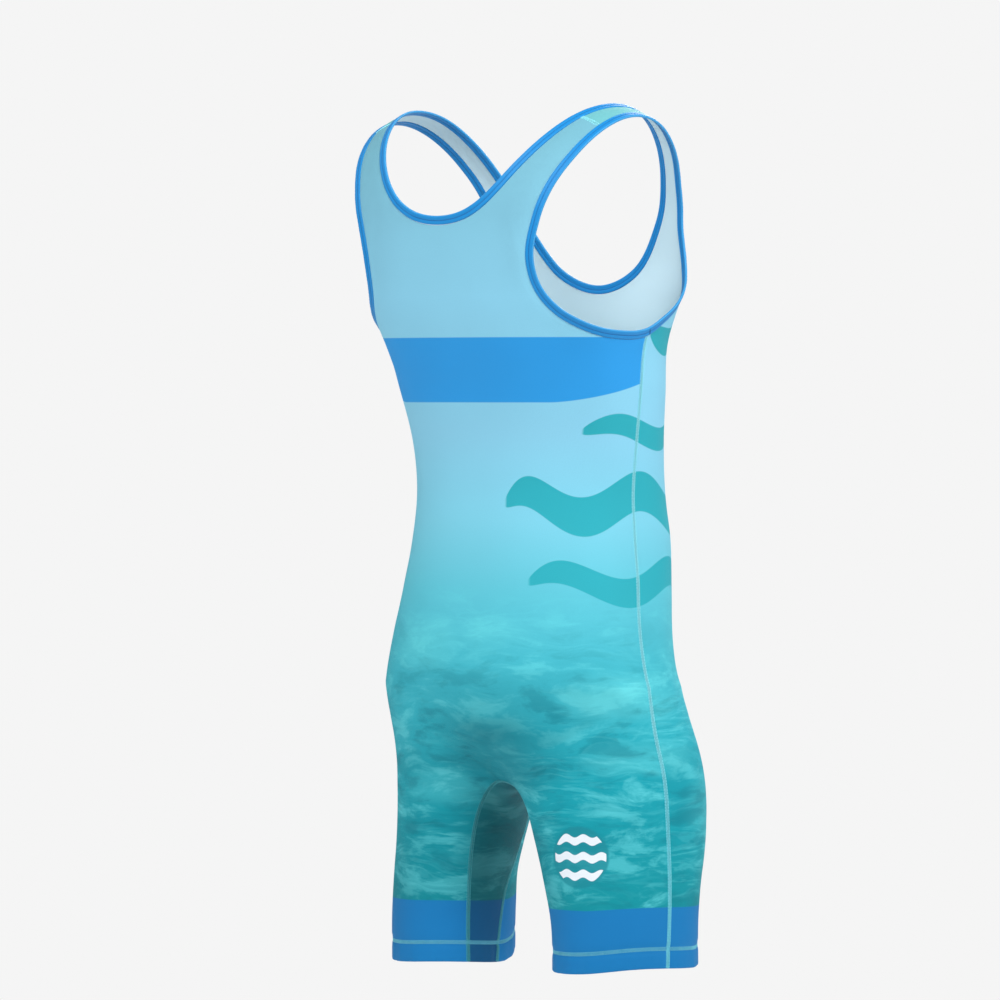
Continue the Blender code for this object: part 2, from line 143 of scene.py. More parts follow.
# %% [markdown]
# ## The general figure
# The cloth lies on a general figure that is written as a smooth field: below zero inside the body and zero
# on its skin. The tables are the same as those of the solids, so the finer cloth lies where they are.

# %% Tables of the figure
Torso = namedtuple("Torso", "height half_width back front squareness")
TORSO = (
    Torso(-0.76, 0.172, 0.110, 0.105, 2.30),
    Torso(-0.66, 0.172, 0.113, 0.106, 2.30),
    Torso(-0.60, 0.172, 0.115, 0.104, 2.30),
    Torso(-0.55, 0.166, 0.106, 0.103, 2.30),
    Torso(-0.50, 0.158, 0.096, 0.107, 2.35),
    Torso(-0.45, 0.148, 0.090, 0.113, 2.40),
    Torso(-0.40, 0.142, 0.087, 0.109, 2.40),
    Torso(-0.35, 0.145, 0.090, 0.104, 2.40),
    Torso(-0.30, 0.152, 0.102, 0.101, 2.45),
    Torso(-0.24, 0.164, 0.121, 0.097, 2.50),
    Torso(-0.20, 0.187, 0.131, 0.098, 2.50),
    Torso(-0.16, 0.212, 0.137, 0.098, 2.50),
    Torso(-0.12, 0.228, 0.138, 0.094, 2.40),
    Torso(-0.08, 0.236, 0.138, 0.090, 2.20),
    Torso(-0.04, 0.255, 0.136, 0.088, 2.05),
    Torso(0.00, 0.275, 0.133, 0.088, 2.00),
    Torso(0.10, 0.275, 0.131, 0.088, 2.00),
)
SHOULDER_BASE, SHOULDER_RISE = -0.115, 0.131
SEAT_TOP, SEAT_DEPTH, SEAT_POWER = -0.530, 0.175, 2.4

Thigh = namedtuple("Thigh", "height across along long_half short_half")
THIGH = (
    Thigh(-0.95, 0.127, -0.008, 0.0750, 0.0645),
    Thigh(-0.90, 0.126, -0.008, 0.0750, 0.0645),
    Thigh(-0.84, 0.125, -0.008, 0.0760, 0.0650),
    Thigh(-0.80, 0.122, -0.008, 0.0810, 0.0650),
    Thigh(-0.77, 0.118, -0.010, 0.0860, 0.0670),
    Thigh(-0.74, 0.113, -0.011, 0.0905, 0.0700),
    Thigh(-0.70, 0.107, -0.010, 0.0945, 0.0735),
    Thigh(-0.66, 0.098, -0.006, 0.0960, 0.0780),
    Thigh(-0.63, 0.092, -0.003, 0.0920, 0.0810),
    Thigh(-0.60, 0.086, 0.000, 0.0860, 0.0830),
    Thigh(-0.50, 0.080, 0.000, 0.0850, 0.0850),
)
THIGH_TURN = math.radians(45)
THIGH_FADE_START, THIGH_FADE_SLOPE = -0.60, 0.375
BLEND = 0.030

Axis = namedtuple("Axis", "height across along")
AXIS = (
    Axis(-0.95, 0.127, -0.008),
    Axis(-0.80, 0.122, -0.008),
    Axis(-0.75, 0.112, -0.008),
    Axis(-0.70, 0.075, -0.004),
    Axis(-0.66, 0.056, 0.000),
    Axis(-0.60, 0.050, 0.005),
    Axis(-0.40, 0.050, 0.000),
    Axis(-0.24, 0.060, 0.012),
    Axis(-0.165, 0.080, 0.015),
)
PIVOT = AXIS[-1]
FAN_REACH = 0.120
print(len(TORSO), "rows for the torso and", len(THIGH), "for a thigh")

# %% [markdown]
# ## A body as one smooth field
# A dress form is one closed skin. Here torso and thighs are formulas that are zero on their skin, and a soft
# minimum blends them without a step. A few Newton steps bring any point onto the skin, which is how every
# edge and grid below finds its place.

# %% The field itself
LEAST_TOTAL = 1e-9
SLOPE_STEP, NEWTON_STEPS = 1e-5, 8
RAY_REACH, RAY_SAMPLES, RAY_HALVINGS = 0.32, 65, 22


def hermite(s, span, first, first_slope, last, last_slope):
    """A smooth curve between two values with given slopes, at a share s of the span."""
    return (
        (1 + 2 * s) * (1 - s) ** 2 * first
        + s * (1 - s) ** 2 * span * first_slope
        + s * s * (3 - 2 * s) * last
        + s * s * (s - 1) * span * last_slope
    )


def smooth_column(table, name, heights):
    """A column of a table at any heights, on a curve with no kink at the rows."""
    rows = sorted(table)
    known = np.array([row.height for row in rows])
    values = np.array([getattr(row, name) for row in rows])
    slopes = np.gradient(values, known)
    heights = np.clip(heights, known[0], known[-1])
    low = np.clip(np.searchsorted(known, heights) - 1, 0, len(known) - 2)
    span = known[low + 1] - known[low]
    s = (heights - known[low]) / span
    return hermite(s, span, values[low], slopes[low], values[low + 1], slopes[low + 1])


def softer_minimum(first, second):
    """The lesser of two fields, rounded off where they are nearly equal."""
    overlap = np.maximum(BLEND - np.abs(first - second), 0) / BLEND
    return np.minimum(first, second) - overlap * overlap * BLEND / 4


def torso_field(points):
    x, y, z = np.abs(points[..., 0]), points[..., 1], points[..., 2]
    back = smooth_column(TORSO, "back", z)
    front = smooth_column(TORSO, "front", z)
    power = smooth_column(TORSO, "squareness", z)
    middle, depth = (back - front) / 2, (back + front) / 2
    shoulder = np.maximum(0, (z - SHOULDER_BASE) / SHOULDER_RISE) ** 2
    seat = np.maximum(0, (SEAT_TOP - z) / SEAT_DEPTH) ** SEAT_POWER
    across = (x / smooth_column(TORSO, "half_width", z)) ** power
    along = (np.abs(y - middle) / depth) ** power
    total = np.maximum(across + along + shoulder + seat, LEAST_TOTAL)
    return (total ** (1 / power) - 1) * depth


def thigh_field(points, side):
    x, y, z = side * points[..., 0], points[..., 1], points[..., 2]
    across = x - smooth_column(THIGH, "across", z)
    along = y - smooth_column(THIGH, "along", z)
    forward = across * math.cos(THIGH_TURN) - along * math.sin(THIGH_TURN)
    sideways = across * math.sin(THIGH_TURN) + along * math.cos(THIGH_TURN)
    long_half = smooth_column(THIGH, "long_half", z)
    short_half = smooth_column(THIGH, "short_half", z)
    distance = (np.hypot(forward / long_half, sideways / short_half) - 1) * short_half
    return distance + THIGH_FADE_SLOPE * np.maximum(0, z - THIGH_FADE_START)


def figure(points):
    thighs = softer_minimum(thigh_field(points, 1), thigh_field(points, -1))
    return softer_minimum(torso_field(points), thighs)


def slope_of_figure(points):
    shifts = np.eye(3) * SLOPE_STEP
    columns = [(figure(points + shift) - figure(points - shift)) / (2 * SLOPE_STEP) for shift in shifts]
    return np.stack(columns, axis=-1)


def outward(points):
    """The direction straight out of the figure at each point."""
    slope = slope_of_figure(points)
    return slope / np.linalg.norm(slope, axis=-1, keepdims=True)


def onto_figure(points):
    """The points, brought straight onto the figure's skin."""
    for _ in range(NEWTON_STEPS):
        slope = slope_of_figure(points)
        points = points - slope * (figure(points) / (slope * slope).sum(axis=-1))[..., None]
    return points


def cast(origins, directions):
    """Where rays from inside the figure first come out of it."""
    reach = np.linspace(0, RAY_REACH, RAY_SAMPLES)
    samples = origins[:, None] + reach[:, None] * directions[:, None]
    out = np.argmax(figure(samples) > 0, axis=1)
    low, high = reach[out - 1], reach[out]
    for _ in range(RAY_HALVINGS):
        middle = (low + high) / 2
        outside = figure(origins + middle[:, None] * directions) > 0
        high = np.where(outside, middle, high)
        low = np.where(outside, low, middle)
    return origins + high[:, None] * directions


print("waist half width", round(float(smooth_column(TORSO, "half_width", -0.4)), 3))

# %% [markdown]
# ## Where the cuts run
# A maker's pattern is a set of edges. Here each edge is a short list of places near the figure, drawn onto
# it as a smooth line. The neck and armhole lines are the finished edges of the tape.

# %% Edges of the cut
Place = namedtuple("Place", "across along height")
GUSSET_BACK = (
    Place(0.063, 0.032, -0.890),
    Place(0.061, 0.034, -0.832),
    Place(0.055, 0.038, -0.798),
    Place(0.048, 0.041, -0.765),
    Place(0.040, 0.042, -0.737),
    Place(0.030, 0.042, -0.718),
    Place(0.016, 0.044, -0.705),
    Place(0.000, 0.047, -0.700),
)
GUSSET_FRONT = (
    Place(0.056, -0.004, -0.890),
    Place(0.056, -0.008, -0.850),
    Place(0.055, -0.014, -0.816),
    Place(0.054, -0.030, -0.784),
    Place(0.049, -0.042, -0.758),
    Place(0.040, -0.050, -0.735),
    Place(0.028, -0.054, -0.717),
    Place(0.014, -0.056, -0.705),
    Place(0.000, -0.057, -0.700),
)
NECK_EDGE = (
    Place(0.000, 0.138, -0.117),
    Place(0.040, 0.137, -0.110),
    Place(0.060, 0.135, -0.099),
    Place(0.076, 0.131, -0.085),
    Place(0.094, 0.121, -0.064),
    Place(0.109, 0.104, -0.045),
    Place(0.130, 0.069, -0.017),
    Place(0.143, 0.030, -0.002),
    Place(0.143, -0.016, -0.003),
    Place(0.134, -0.054, -0.028),
    Place(0.116, -0.075, -0.072),
    Place(0.090, -0.086, -0.125),
    Place(0.051, -0.096, -0.170),
    Place(0.000, -0.098, -0.186),
)
ARMHOLE_EDGE = (
    Place(0.169, -0.001, -0.232),
    Place(0.163, 0.040, -0.234),
    Place(0.151, 0.078, -0.225),
    Place(0.137, 0.102, -0.210),
    Place(0.127, 0.117, -0.190),
    Place(0.124, 0.125, -0.162),
    Place(0.132, 0.124, -0.125),
    Place(0.144, 0.113, -0.090),
    Place(0.158, 0.094, -0.060),
    Place(0.169, 0.065, -0.034),
    Place(0.177, 0.025, -0.016),
    Place(0.176, -0.015, -0.022),
    Place(0.162, -0.047, -0.055),
    Place(0.146, -0.067, -0.095),
    Place(0.139, -0.073, -0.130),
    Place(0.143, -0.066, -0.163),
    Place(0.155, -0.043, -0.191),
    Place(0.166, -0.020, -0.216),
    Place(0.169, -0.001, -0.232),
)
SideSeam = namedtuple("SideSeam", "height along")
SIDE_SEAM = (
    SideSeam(-0.890, -0.001),
    SideSeam(-0.770, -0.005),
    SideSeam(-0.690, -0.003),
    SideSeam(-0.630, 0.006),
    SideSeam(-0.545, 0.011),
    SideSeam(-0.475, 0.002),
    SideSeam(-0.350, -0.005),
    SideSeam(-0.240, -0.001),
)

HEM_HEIGHT, HEM_FOLD_TOP = -0.890, -0.868
ARMHOLE_FOOT, SHOULDER_SEAM_Y = -0.232, 0.070
BINDING_WIDTH = 0.0095
SEAM_GAP = 0.0003
LINE_POINTS, RISING_POINTS = 400, 250
OPEN, ROUND, ACROSS = ("open", "open"), ("closed", "closed"), ("mirrored", "mirrored")
UP_TO_MIDDLE, FROM_MIDDLE = ("open", "mirrored"), ("mirrored", "open")
print("places: neck", len(NECK_EDGE), "armhole", len(ARMHOLE_EDGE), "side seam", len(SIDE_SEAM))

# %% [markdown]
# ## Drawing the edges
# Between its places an edge has to lie on the body too. So each one is a smooth curve that is brought onto
# the figure at many points, and it can be moved sideways on it by the width of a tape or a seam.

# %% Lines on the figure
def lengths_along(points):
    return np.concatenate([[0], np.cumsum(np.linalg.norm(np.diff(points, axis=0), axis=1))])


def evenly(points, count, start=0.0, end=None):
    """Points evenly spaced along a dense line, from one length along it to another."""
    lengths = lengths_along(points)
    wanted = np.linspace(start, lengths[-1] if end is None else end, count)
    return np.stack([np.interp(wanted, lengths, column) for column in points.T], axis=1)


def with_ends(points, ends):
    """The points with one more at each end, which says how the line goes on from there."""
    more = {
        "open": (2 * points[0] - points[1], 2 * points[-1] - points[-2]),
        "mirrored": (points[1] * (-1, 1, 1), points[-2] * (-1, 1, 1)),
        "closed": (points[-2], points[1]),
    }
    return np.concatenate([[more[ends[0]][0]], points, [more[ends[1]][1]]])


def line_through(places, ends):
    """A dense smooth line through places near the figure, drawn onto it."""
    knots = with_ends(np.array(places, dtype=float), ends)
    chords = lengths_along(knots)
    slopes = np.gradient(knots, chords, axis=0)
    wanted = np.linspace(chords[1], chords[-2], LINE_POINTS)
    low = np.clip(np.searchsorted(chords, wanted) - 1, 0, len(chords) - 2)
    span = (chords[low + 1] - chords[low])[:, None]
    s = (wanted - chords[low])[:, None] / span
    return onto_figure(hermite(s, span, knots[low], slopes[low], knots[low + 1], slopes[low + 1]))


def frame_of(line, ends):
    """A line's directions along it and to its left, as seen from outside, at each of its points."""
    padded = with_ends(line, ends)
    along = padded[2:] - padded[:-2]
    along /= np.linalg.norm(along, axis=1, keepdims=True)
    return along, np.cross(outward(line), along)


def beside(line, distance, ends):
    """The line moved to its left on the figure. A negative distance moves it to its right."""
    moved = onto_figure(line + distance * frame_of(line, ends)[1])
    middle = [end == "mirrored" for end in ends]
    moved[[0, -1], 0] = np.where(middle, 0.0, moved[[0, -1], 0])
    return moved


def centre_line(side, low, high):
    """The middle of the back (side 1) or of the front (side -1), from one height to another."""
    heights = np.linspace(low, high, LINE_POINTS)
    nothing = np.zeros_like(heights)
    origins = np.stack([nothing, nothing, heights], axis=1)
    return cast(origins, np.broadcast_to([0.0, side, 0.0], origins.shape))


def side_line(heights):
    across = smooth_column(AXIS, "across", heights)
    origins = np.stack([across, smooth_column(SIDE_SEAM, "along", heights), heights], axis=1)
    return cast(origins, np.broadcast_to([1.0, 0.0, 0.0], origins.shape))


def length_at_shoulder_seam(line):
    """How far along the line, past its furthest point back, the shoulder seam crosses it."""
    lengths = lengths_along(line)
    furthest_back = int(line[:, 1].argmax())
    crossing = furthest_back + int(np.argmax(line[furthest_back:, 1] < SHOULDER_SEAM_Y))
    return lengths[crossing]


print("neck", round(2 * float(lengths_along(line_through(NECK_EDGE, ACROSS))[-1]), 3), "m round")

# %% [markdown]
# ## Rows and columns
# Each half panel is a grid between four edges. The rows leave the arch between the legs, level out at the
# waist and climb past the armhole to the shoulder seam. The points lie about 4 mm apart up the piece and 5
# to 6 mm apart across it, which is enough for soft creases and keeps the file of each piece small.

# %% Grid of a half panel
COLUMNS = 36
HEM_ROWS = 6
ROWS_LEG, ROWS_HIP, ROWS_CHEST, ROWS_STRAP = 50, 50, 50, 80
SIDE_AT_ARCH, MIDDLE_AT_WAIST, SIDE_AT_WAIST = -0.655, -0.420, -0.430
LEVEL_AT_ARCH, LEVEL_AT_WAIST, LEVEL_AT_ARMHOLE = -0.645, -0.440, -0.290
NEAR_ARCH_ROWS, NEAR_ARCH_COLUMNS, LEAST_STEP = 12, 8, 0.0013
Rows = namedtuple("Rows", "panel curve lag")
BACK_ROWS = Rows("back", 3.0, 1.15)
FRONT_ROWS = Rows("front", 2.1, 0.80)


def axis_at(levels):
    """Where the rays of each level start, inside the figure."""
    heights = np.minimum(levels, PIVOT.height)
    across, along = (smooth_column(AXIS, name, heights) for name in ("across", "along"))
    return np.stack([across, along, heights], axis=-1)


def points_at(side, levels, angles):
    """Points of the figure at some levels and angles. Above the pivot the rays fan out upwards."""
    tilt = np.maximum(0, levels - PIVOT.height) / FAN_REACH
    directions = np.stack(
        [np.sin(angles), side * np.cos(angles) * np.cos(tilt), np.cos(angles) * np.sin(tilt)],
        axis=-1,
    )
    return cast(axis_at(levels), directions)


def rays_through(side, points):
    """The levels and angles of some points of the figure."""
    off = points - axis_at(points[:, 2])
    reach = side * off[:, 1]
    tilt = np.where(points[:, 2] > PIVOT.height, np.arctan2(off[:, 2], reach), 0)
    levels = np.minimum(points[:, 2], PIVOT.height) + FAN_REACH * tilt
    angles = np.arctan2(off[:, 0], np.where(tilt > 0, np.hypot(reach, off[:, 2]), reach))
    return levels, angles


print("the rays fan out above", PIVOT.height, "m")

# %% [markdown]
# ## Half a panel
# The two edges of a row are given by the seams. In between, both the height and the angle of the ray go
# smoothly from one to the other, so the rows never cross and the knit can run straight up the piece.

# %% Seams and half panels
def arch_stations(line):
    """Points up a gusset seam: the hem's rows, then evenly to the top of the arch."""
    rising = line[:RISING_POINTS]
    hem_heights = np.linspace(HEM_HEIGHT, HEM_FOLD_TOP, HEM_ROWS + 1)
    hem = np.stack([np.interp(hem_heights, rising[:, 2], column) for column in rising.T], axis=1)
    start = float(np.interp(HEM_FOLD_TOP, rising[:, 2], lengths_along(rising)))
    return np.concatenate([hem[:-1], evenly(line, ROWS_LEG + 1, start)])


def side_heights():
    hem = np.linspace(HEM_HEIGHT, HEM_FOLD_TOP, HEM_ROWS + 1)
    leg = np.linspace(HEM_FOLD_TOP, SIDE_AT_ARCH, ROWS_LEG + 1)[1:]
    hip = np.linspace(SIDE_AT_ARCH, SIDE_AT_WAIST, ROWS_HIP + 1)[1:]
    chest = np.linspace(SIDE_AT_WAIST, ARMHOLE_FOOT - BINDING_WIDTH, ROWS_CHEST + 1)[1:]
    return np.concatenate([hem, leg, hip, chest])


def all_seams():
    """Every seam line on the wearer's left, as stations in the order of the panels' rows."""
    neck = beside(line_through(NECK_EDGE, ACROSS), BINDING_WIDTH, ACROSS)
    armhole = beside(line_through(ARMHOLE_EDGE, ROUND), -BINDING_WIDTH, ROUND)
    neck_turn, armhole_turn = length_at_shoulder_seam(neck), length_at_shoulder_seam(armhole)
    half, strap = SEAM_GAP / 2, ROWS_STRAP + 1
    found = {"side": side_line(side_heights())}
    found["neck_back"] = evenly(neck, strap, 0.0, neck_turn - half)
    found["neck_front"] = evenly(neck, strap, neck_turn + half)[::-1]
    found["armhole_back"] = evenly(armhole, strap, 0.0, armhole_turn - half)
    found["armhole_front"] = evenly(armhole, strap, armhole_turn + half)[::-1]
    for name, places in (("gusset_back", GUSSET_BACK), ("gusset_front", GUSSET_FRONT)):
        found[name] = arch_stations(line_through(places, UP_TO_MIDDLE))
    return found


def row_levels(plan, inner_levels, outer_levels, fractions):
    """The level of each point: that of its row, bent towards the seam at either end."""
    keys = np.cumsum([0, HEM_ROWS, ROWS_LEG, ROWS_HIP, ROWS_CHEST, ROWS_STRAP])
    top = (inner_levels[-1] + outer_levels[-1]) / 2
    levels = (HEM_HEIGHT, HEM_FOLD_TOP, LEVEL_AT_ARCH, LEVEL_AT_WAIST, LEVEL_AT_ARMHOLE, top)
    rows = np.arange(keys[-1] + 1.0)
    up_strap = np.maximum(0, rows - keys[-2]) / ROWS_STRAP
    rows = np.minimum(rows, keys[-2]) + ROWS_STRAP * up_strap**plan.lag
    middle = np.interp(rows, keys, levels)[:, None]
    from_inner = (inner_levels[:, None] - middle) * (1 - fractions) ** plan.curve
    from_outer = (outer_levels[:, None] - middle) * fractions**plan.curve
    return middle + from_inner + from_outer


def spread_at_arch(laid):
    """Keeps the first columns apart round the top of the arch, where the rows start to fan out."""
    top = HEM_ROWS + ROWS_LEG
    rows = slice(top - NEAR_ARCH_ROWS, top + NEAR_ARCH_ROWS)
    columns = slice(1, NEAR_ARCH_COLUMNS)
    least = laid[rows, :1, 0] + LEAST_STEP * np.arange(1, NEAR_ARCH_COLUMNS)
    laid[rows, columns, 0] = np.maximum(laid[rows, columns, 0], least)
    laid[rows, columns] = onto_figure(laid[rows, columns])
    return laid


def half_panel(side, seams):
    """Grid of points for the left half of the back (side 1) or the front (side -1)."""
    plan = BACK_ROWS if side > 0 else FRONT_ROWS
    gap = side * SEAM_GAP / 2
    arch = beside(seams["gusset_" + plan.panel], gap, UP_TO_MIDDLE)
    neck = beside(seams["neck_" + plan.panel], gap, FROM_MIDDLE)
    hip = evenly(centre_line(side, arch[-1][2], MIDDLE_AT_WAIST), ROWS_HIP + 1)[1:]
    chest = evenly(centre_line(side, MIDDLE_AT_WAIST, neck[0][2]), ROWS_CHEST + 1)[1:-1]
    inner = np.concatenate([arch, hip, chest, neck])
    outer = np.concatenate([seams["side"][:-1], seams["armhole_" + plan.panel]])
    outer = beside(outer, -gap, OPEN)
    inner_levels, inner_angles = rays_through(side, inner)
    outer_levels, outer_angles = rays_through(side, outer)
    fractions = np.linspace(0, 1, COLUMNS + 1)[None, :]
    levels = row_levels(plan, inner_levels, outer_levels, fractions)
    angles = inner_angles[:, None] * (1 - fractions) + outer_angles[:, None] * fractions
    laid = points_at(side, levels.ravel(), angles.ravel()).reshape(*levels.shape, 3)
    laid[:, 0], laid[:, -1] = inner, outer
    return spread_at_arch(laid)


seams = all_seams()
print("side seam", round(float(lengths_along(seams["side"])[-1]), 3), "m")

# %% [markdown]
# ## Soft creases and pulled seams
# The knit is tight, so it has no deep folds. It has shallow drag lines round the seat, the crotch and the
# armpits, a slight pull along each seam, and small waves at the hem, where the stitching draws it in. Each
# crease is a soft trough or ridge between two places, and each side gets its own, a little different. The
# hems also ride up a little: at the front of both thighs, and at the wearer's right side.

# %% Relief of the cloth
Crease = namedtuple("Crease", "start end rise width")
CREASES = (
    Crease((0.016, 0.060, -0.688), (0.128, 0.082, -0.664), -0.0011, 0.011),
    Crease((0.020, 0.075, -0.668), (0.112, 0.098, -0.634), 0.0007, 0.014),
    Crease((0.036, 0.045, -0.742), (0.120, 0.066, -0.700), -0.0006, 0.010),
    Crease((0.044, 0.040, -0.770), (0.150, 0.050, -0.742), 0.0005, 0.012),
    Crease((-0.014, 0.062, -0.686), (-0.118, 0.088, -0.655), -0.0010, 0.012),
    Crease((-0.024, 0.078, -0.664), (-0.124, 0.092, -0.640), 0.0006, 0.013),
    Crease((-0.040, 0.044, -0.748), (-0.128, 0.062, -0.712), -0.0006, 0.009),
    Crease((0.018, -0.070, -0.672), (0.140, -0.070, -0.600), -0.0013, 0.012),
    Crease((0.026, -0.088, -0.640), (0.120, -0.092, -0.586), 0.0007, 0.015),
    Crease((-0.020, -0.068, -0.676), (-0.132, -0.074, -0.612), -0.0012, 0.013),
    Crease((-0.030, -0.090, -0.634), (-0.110, -0.096, -0.576), 0.0006, 0.014),
    Crease((-0.090, 0.080, -0.392), (0.020, 0.088, -0.404), -0.0006, 0.012),
    Crease((0.000, 0.089, -0.430), (0.100, 0.078, -0.418), 0.0005, 0.014),
    Crease((0.144, 0.030, -0.424), (0.120, -0.076, -0.396), -0.0008, 0.011),
    Crease((-0.144, 0.030, -0.398), (-0.118, -0.078, -0.428), -0.0008, 0.012),
    Crease((-0.060, -0.104, -0.372), (0.052, -0.104, -0.384), -0.0007, 0.014),
    Crease((0.150, 0.070, -0.250), (0.104, 0.106, -0.318), -0.0007, 0.010),
    Crease((-0.148, 0.072, -0.252), (-0.110, 0.100, -0.330), -0.0007, 0.011),
    Crease((0.150, -0.058, -0.214), (0.096, -0.090, -0.270), 0.0008, 0.012),
    Crease((-0.150, -0.056, -0.216), (-0.100, -0.090, -0.280), 0.0008, 0.011),
)
CREASE_TAPER = 0.7
SEAM_PULL, SEAM_REACH = 0.00045, 0.0050
HEM_STITCH_HEIGHT, STITCH_FADE = -0.8705, 0.0015
HEM_PULL, HEM_REACH = 0.0013, 0.0035
HEM_WAVE, BROAD_WAVES, SIDE_SHIFT, SMALL_WAVES, SMALL_SHARE = 0.00035, 17, 3, 41, 0.6
HEM_RISE, HEM_RISE_TOP, HEM_RISE_WAY = 0.016, -0.720, (-0.12, -0.993)
RIGHT_HEM_RISE, HEM_UNEVEN, UNEVEN_WAVES = 0.0065, 0.0012, 3
THIGH_MIDDLE = (0.126, -0.008)
MIRROR = np.array((-1.0, 1.0, 1.0))
SIDES = (("left", np.ones(3)), ("right", MIRROR))


def seam_tree():
    """Every seam point, for asking how near a place is to the nearest seam."""
    lines = [line * turn for line in seams.values() for _, turn in SIDES]
    points = np.concatenate([evenly(line, 4 * len(line)) for line in lines])
    tree = KDTree(len(points))
    for index, point in enumerate(points):
        tree.insert(point, index)
    tree.balance()
    return tree


SEAM_TREE = seam_tree()
CREASE_ENDS = onto_figure(np.array([(crease.start, crease.end) for crease in CREASES]))


def crease_relief(points):
    """How far the creases lift or sink the cloth. Each fades out at its ends and on both sides."""
    total = np.zeros(points.shape[:-1])
    for crease, (start, end) in zip(CREASES, CREASE_ENDS):
        line = end - start
        share = ((points - start) @ line) / (line @ line)
        inside = np.clip(share, 0, 1)
        away = np.linalg.norm(points - start - inside[..., None] * line, axis=-1)
        taper = np.sin(np.pi * inside) ** CREASE_TAPER
        total += crease.rise * taper * np.exp(-((away / crease.width) ** 2))
    return total


def from_thigh(points):
    """How far each point is from the middle of its thigh: outwards, and backwards."""
    return np.abs(points[..., 0]) - THIGH_MIDDLE[0], points[..., 1] - THIGH_MIDDLE[1]


def relief(points):
    """How far the cloth stands off the figure at each point, in metres."""
    flat = points.reshape(-1, 3)
    near = np.array([SEAM_TREE.find(point)[2] for point in flat]).reshape(points.shape[:-1])
    height = points[..., 2]
    across, along = from_thigh(points)
    turn = np.arctan2(along, across)
    broad = np.sin(BROAD_WAVES * turn + SIDE_SHIFT * np.sign(points[..., 0]))
    wave = broad + SMALL_SHARE * np.sin(SMALL_WAVES * turn)
    below_stitch = 1 / (1 + np.exp((height - HEM_STITCH_HEIGHT) / STITCH_FADE))
    pulled = SEAM_PULL * np.exp(-((near / SEAM_REACH) ** 2))
    hem = HEM_PULL * np.exp(-(((height - HEM_STITCH_HEIGHT) / HEM_REACH) ** 2))
    return crease_relief(points) - pulled - hem + HEM_WAVE * wave * below_stitch


def ride_up(points):
    """How far the hem rides up: at the front of both thighs, and at the wearer's right side."""
    across, along = from_thigh(points)
    away = np.hypot(across, along)
    towards = np.clip((along * HEM_RISE_WAY[1] + across * HEM_RISE_WAY[0]) / away, 0, 1)
    sideways = np.where(points[..., 0] < 0, np.clip(across / away, 0, 1), 0)
    near_hem = np.clip((HEM_RISE_TOP - points[..., 2]) / (HEM_RISE_TOP - HEM_HEIGHT), 0, 1)
    uneven = HEM_UNEVEN * np.sin(UNEVEN_WAVES * np.arctan2(along, across) + np.sign(points[..., 0]))
    rise = np.hypot(HEM_RISE * towards**2, RIGHT_HEM_RISE * sideways**2)
    return (rise + uneven) * near_hem**2 * (3 - 2 * near_hem)


def skin(points, lift=0.0):
    """The cloth's outer face over points of the figure, with an extra lift."""
    laid = points + outward(points) * (relief(points) + lift)[..., None]
    laid[..., 2] += ride_up(points)
    return laid


print(len(CREASES), "creases")

# %% [markdown]
# ## From a grid to cloth
# A grid of points becomes a sheet with create_grid. At the legs the sheet goes on past the hem: it curls
# round a tight fold and comes back up inside, printed side in, as a real turned-up hem does. The sheet
# carries a map in metres, across from the middle and up the piece, so that the knit follows the cloth.

# %% Sheets of cloth
CLOTH = 0.0009
FOLD_RADIUS = 0.0010
CURL_ROWS = 5
SHARP_FOLD = math.radians(50)


def with_turned_hem(grid):
    """The cloth over a grid that ends at the hem, after the rows of its turned-up layer and its curl."""
    lowest = grid[0]
    inwards = -outward(lowest)
    laid = skin(grid)
    rows = []
    for step in range(CURL_ROWS - 1, 0, -1):
        angle = math.pi * step / CURL_ROWS
        drop = np.array((0, 0, -FOLD_RADIUS * math.sin(angle)))
        rows.append(laid[0] + inwards * FOLD_RADIUS * (1 - math.cos(angle)) + drop)
    inside = skin(grid[: HEM_ROWS + 1], lift=-2 * FOLD_RADIUS)
    return np.concatenate([inside[::-1], rows, laid])


def cloth_map(laid, across_sign=1.0, start=0.0):
    """Distances across, and heights before the hem rode up, which go on downwards round the curl."""
    gaps = np.linalg.norm(np.diff(laid, axis=1), axis=-1)
    across = np.concatenate([np.zeros((len(laid), 1)), np.cumsum(gaps, axis=1)], axis=1)
    first = HEM_ROWS + CURL_ROWS
    up = laid[..., 2] - ride_up(laid)
    steps = np.linalg.norm(np.diff(laid[: first + 1], axis=0), axis=-1)
    below = np.cumsum(steps[::-1], axis=0)[::-1]
    up[:first] = up[first] - below
    return np.stack([across_sign * (across + start), up], axis=-1)


def add_grid(bm, uv_layer, laid, cloth_uv, flip):
    """Adds one grid of faces to a bmesh, facing outwards."""
    rows, columns = laid.shape[:2]
    made = bmesh.ops.create_grid(bm, x_segments=columns - 1, y_segments=rows - 1, size=0.5)["verts"]
    places = {}
    for vertex in made:
        column = round((vertex.co.x + 0.5) * (columns - 1))
        row = round((vertex.co.y + 0.5) * (rows - 1))
        places[vertex] = (row, column)
    faces = {face for vertex in made for face in vertex.link_faces}
    for vertex, (row, column) in places.items():
        vertex.co = laid[row, column]
    for face in faces:
        for loop in face.loops:
            loop[uv_layer].uv = cloth_uv[places[loop.vert]]
    if flip:
        bmesh.ops.reverse_faces(bm, faces=list(faces))


def evaluated_mesh(source):
    """A new mesh of an object as its modifiers or the bevel of its curve make it."""
    bpy.context.view_layer.update()
    return bpy.data.meshes.new_from_object(source.evaluated_get(bpy.context.evaluated_depsgraph_get()))


